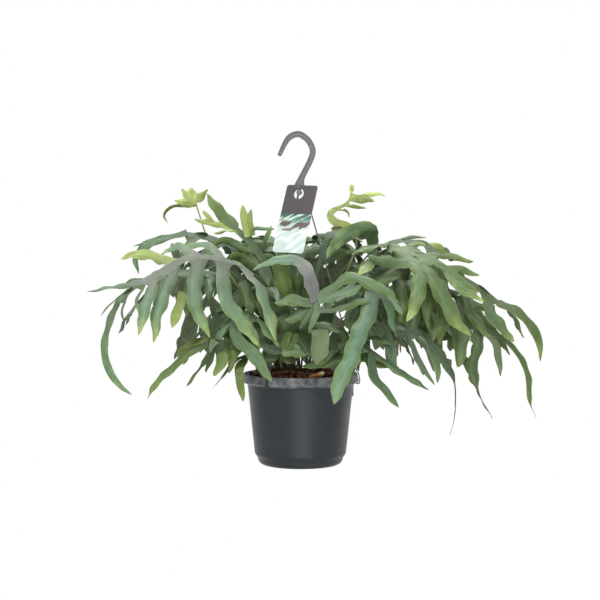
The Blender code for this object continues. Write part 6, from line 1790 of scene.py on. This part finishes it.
def build_tag(looks):
    """The card: its outline filled and given its thickness, the printed side to the front."""
    data = bpy.data.curves.new("hanging_card", "CURVE")
    data.dimensions, data.fill_mode, data.extrude = "2D", "BOTH", TAG_THICKNESS / 2
    for points in tag_outline():
        line = data.splines.new("POLY")
        line.points.add(len(points) - 1)
        line.points.foreach_set("co", np.insert(points, [2, 2], [0, 1], axis=1).reshape(-1))
        line.use_cyclic_u = True
    flat = linked("hanging_card", data)
    mesh = bpy.data.meshes.new_from_object(flat.evaluated_get(bpy.context.evaluated_depsgraph_get()))
    bpy.data.objects.remove(flat)
    mesh.materials.clear()
    turned_outwards(mesh, WELD)
    corner = np.empty(3 * len(mesh.vertices))
    mesh.vertices.foreach_get("co", corner)
    owner = np.empty(len(mesh.loops), np.int32)
    mesh.loops.foreach_get("vertex_index", owner)
    local = corner.reshape(-1, 3)[owner]
    flat_places = np.column_stack([local[:, 0] / TAG_SIZE[0] + 0.5, -local[:, 1] / TAG_SIZE[1]])
    mesh.uv_layers.new(name="surface").data.foreach_set("uv", flat_places.reshape(-1))
    normals = np.empty(3 * len(mesh.polygons))
    mesh.polygons.foreach_get("normal", normals)
    mesh.polygons.foreach_set("material_index", (normals.reshape(-1, 3)[:, 2] < 0.5).astype(np.int32))
    hole = Matrix.Translation((TAG_HOLE_X, -TAG_HOLE_DROP, 0))
    mesh.transform(tag_matrix() @ hole @ Matrix.Rotation(math.radians(TAG_SWING), 4, "Z") @ hole.inverted())
    add_piece("hanging_card", mesh, looks, ("plant_tag",))


def white_light(tree, kind, strength):
    """A plain white emission or background shader of this strength."""
    made = tree.nodes.new("ShaderNode" + kind)
    made.inputs["Color"].default_value = (1, 1, 1, 1)
    made.inputs["Strength"].default_value = strength
    return made.outputs[0]


def mixed(tree, share, first, second):
    """Two shaders mixed by a share."""
    made = tree.nodes.new("ShaderNodeMixShader")
    for socket, value in zip(made.inputs, (share, first, second)):
        tree.links.new(value, socket)
    return made.outputs[0]


def floor_look():
    """A pale matt floor that turns pure white away from the plant, where the camera sees it."""
    look = Look("studio_floor", 0.9, 0.2)
    look.colour(FLOOR_GREY)
    look.bump(look.noise(60, 4), 0.05, 0.001)
    away = look.node("VectorMath", look.place(), (1, 1, 0), operation="MULTIPLY").outputs[0]
    away = look.node("VectorMath", away, operation="LENGTH").outputs["Value"]
    rays = look.node("LightPath").outputs
    mirrored = look.math("MAXIMUM", rays["Is Glossy Ray"], rays["Is Transmission Ray"])
    seen = look.math("MAXIMUM", rays["Is Camera Ray"], mirrored)
    share = look.times(look.between(away, 0.3, 0.6), seen)
    both = mixed(look.tree, share, look.shader.outputs[0], white_light(look.tree, "Emission", 1))
    look.tree.links.new(both, look.tree.nodes["Material Output"].inputs["Surface"])
    return look.material


def add_floor():
    """The floor below the hanging plant: a flat square, z = FLOOR_Z."""
    edge = np.linspace(-FLOOR_REACH, FLOOR_REACH, 2)
    x, y = np.meshgrid(edge, edge)
    mesh = mesh_of("studio_floor", [patch(np.stack([x, y, 0 * x + FLOOR_Z], axis=-1))])
    mesh.materials.append(floor_look())
    linked("studio_floor", mesh)


def add_world():
    """A white surround, plain white to the camera and to mirrors and softer as a light."""
    world = bpy.data.worlds.new("studio")
    bpy.context.scene.world = world
    world.use_nodes = True
    tree = world.node_tree
    tree.nodes.clear()
    rays = tree.nodes.new("ShaderNodeLightPath").outputs
    shown = white_light(tree, "Background", SURROUND_LIGHT)
    plain = white_light(tree, "Background", 1)
    for kind in ("Is Glossy Ray", "Is Transmission Ray", "Is Camera Ray"):
        shown = mixed(tree, rays[kind], shown, plain)
    out = tree.nodes.new("ShaderNodeOutputWorld")
    tree.links.new(shown, out.inputs["Surface"])


def add_light(name, place, target, size, power):
    """A soft square lamp at a place, turned towards a target."""
    data = bpy.data.lights.new(name, "AREA")
    data.shape, data.size, data.size_y, data.energy = "RECTANGLE", size[0], size[1], power
    back = unit(np.array(place, float) - np.array(target, float))
    side = unit(np.cross(UP, back))
    matrix = np.eye(4)
    matrix[:3, :3], matrix[:3, 3] = np.column_stack([side, np.cross(back, side), back]), place
    linked(name, data).matrix_world = Matrix(matrix.tolist())


def add_camera():
    """A level camera in front of the plant, a little above the middle."""
    data = bpy.data.cameras.new("front_view")
    data.lens, data.sensor_width, data.clip_end = 91, 36, 100
    camera = linked("front_view", data)
    turn = Matrix.Rotation(math.radians(90 - 2.63), 4, "X") @ Matrix.Rotation(math.radians(0.05), 4, "Z")
    camera.matrix_world = Matrix.Translation((-0.0008, -2.2, 0.34)) @ turn
    bpy.context.scene.camera = camera


def add_studio():
    """Floor, surround, soft lamps and camera."""
    add_floor()
    add_world()
    middle = (0, 0, 0.24)
    add_light("key_left", (-0.8, -1.2, 1.95), middle, (0.8, 0.8), 25)
    add_light("fill_right", (1.6, -1.2, 1), middle, (0.9, 1.2), 3)
    add_light("front_high", (0.06, -2.2, 1.15), middle, (0.6, 0.45), 16)
    add_light("front_low", (0.1, -1.15, -0.19), (0, 0, 0.08), (0.8, 0.12), 4)
    add_light("back_fill", (0.4, 2.2, 1.2), middle, (1.2, 1), 8)
    add_light("top_panel", (0.1, 0.15, 1.9), middle, (0.9, 0.9), 24)
    add_light("right_strip", (1.3, 0.75, 0.25), middle, (0.2, 1.3), 1)
    add_camera()
    bpy.context.scene.view_settings.view_transform = "Standard"


def main():
    random = np.random.RandomState(SEED + 4)
    plastic, grey_plastic = pot_look(), hanger_look()
    build_pot(plastic)
    build_mix(mix_look(), random)
    build_rhizomes(rhizome_look(), random)
    build_hook(grey_plastic)
    build_strands(grey_plastic)
    build_tag([tag_look(), tag_back_look()])
    build_fronds(frame["nodes"], [leaf_look(), leaf_back_look(), stalk_look()])
    add_studio()


main()
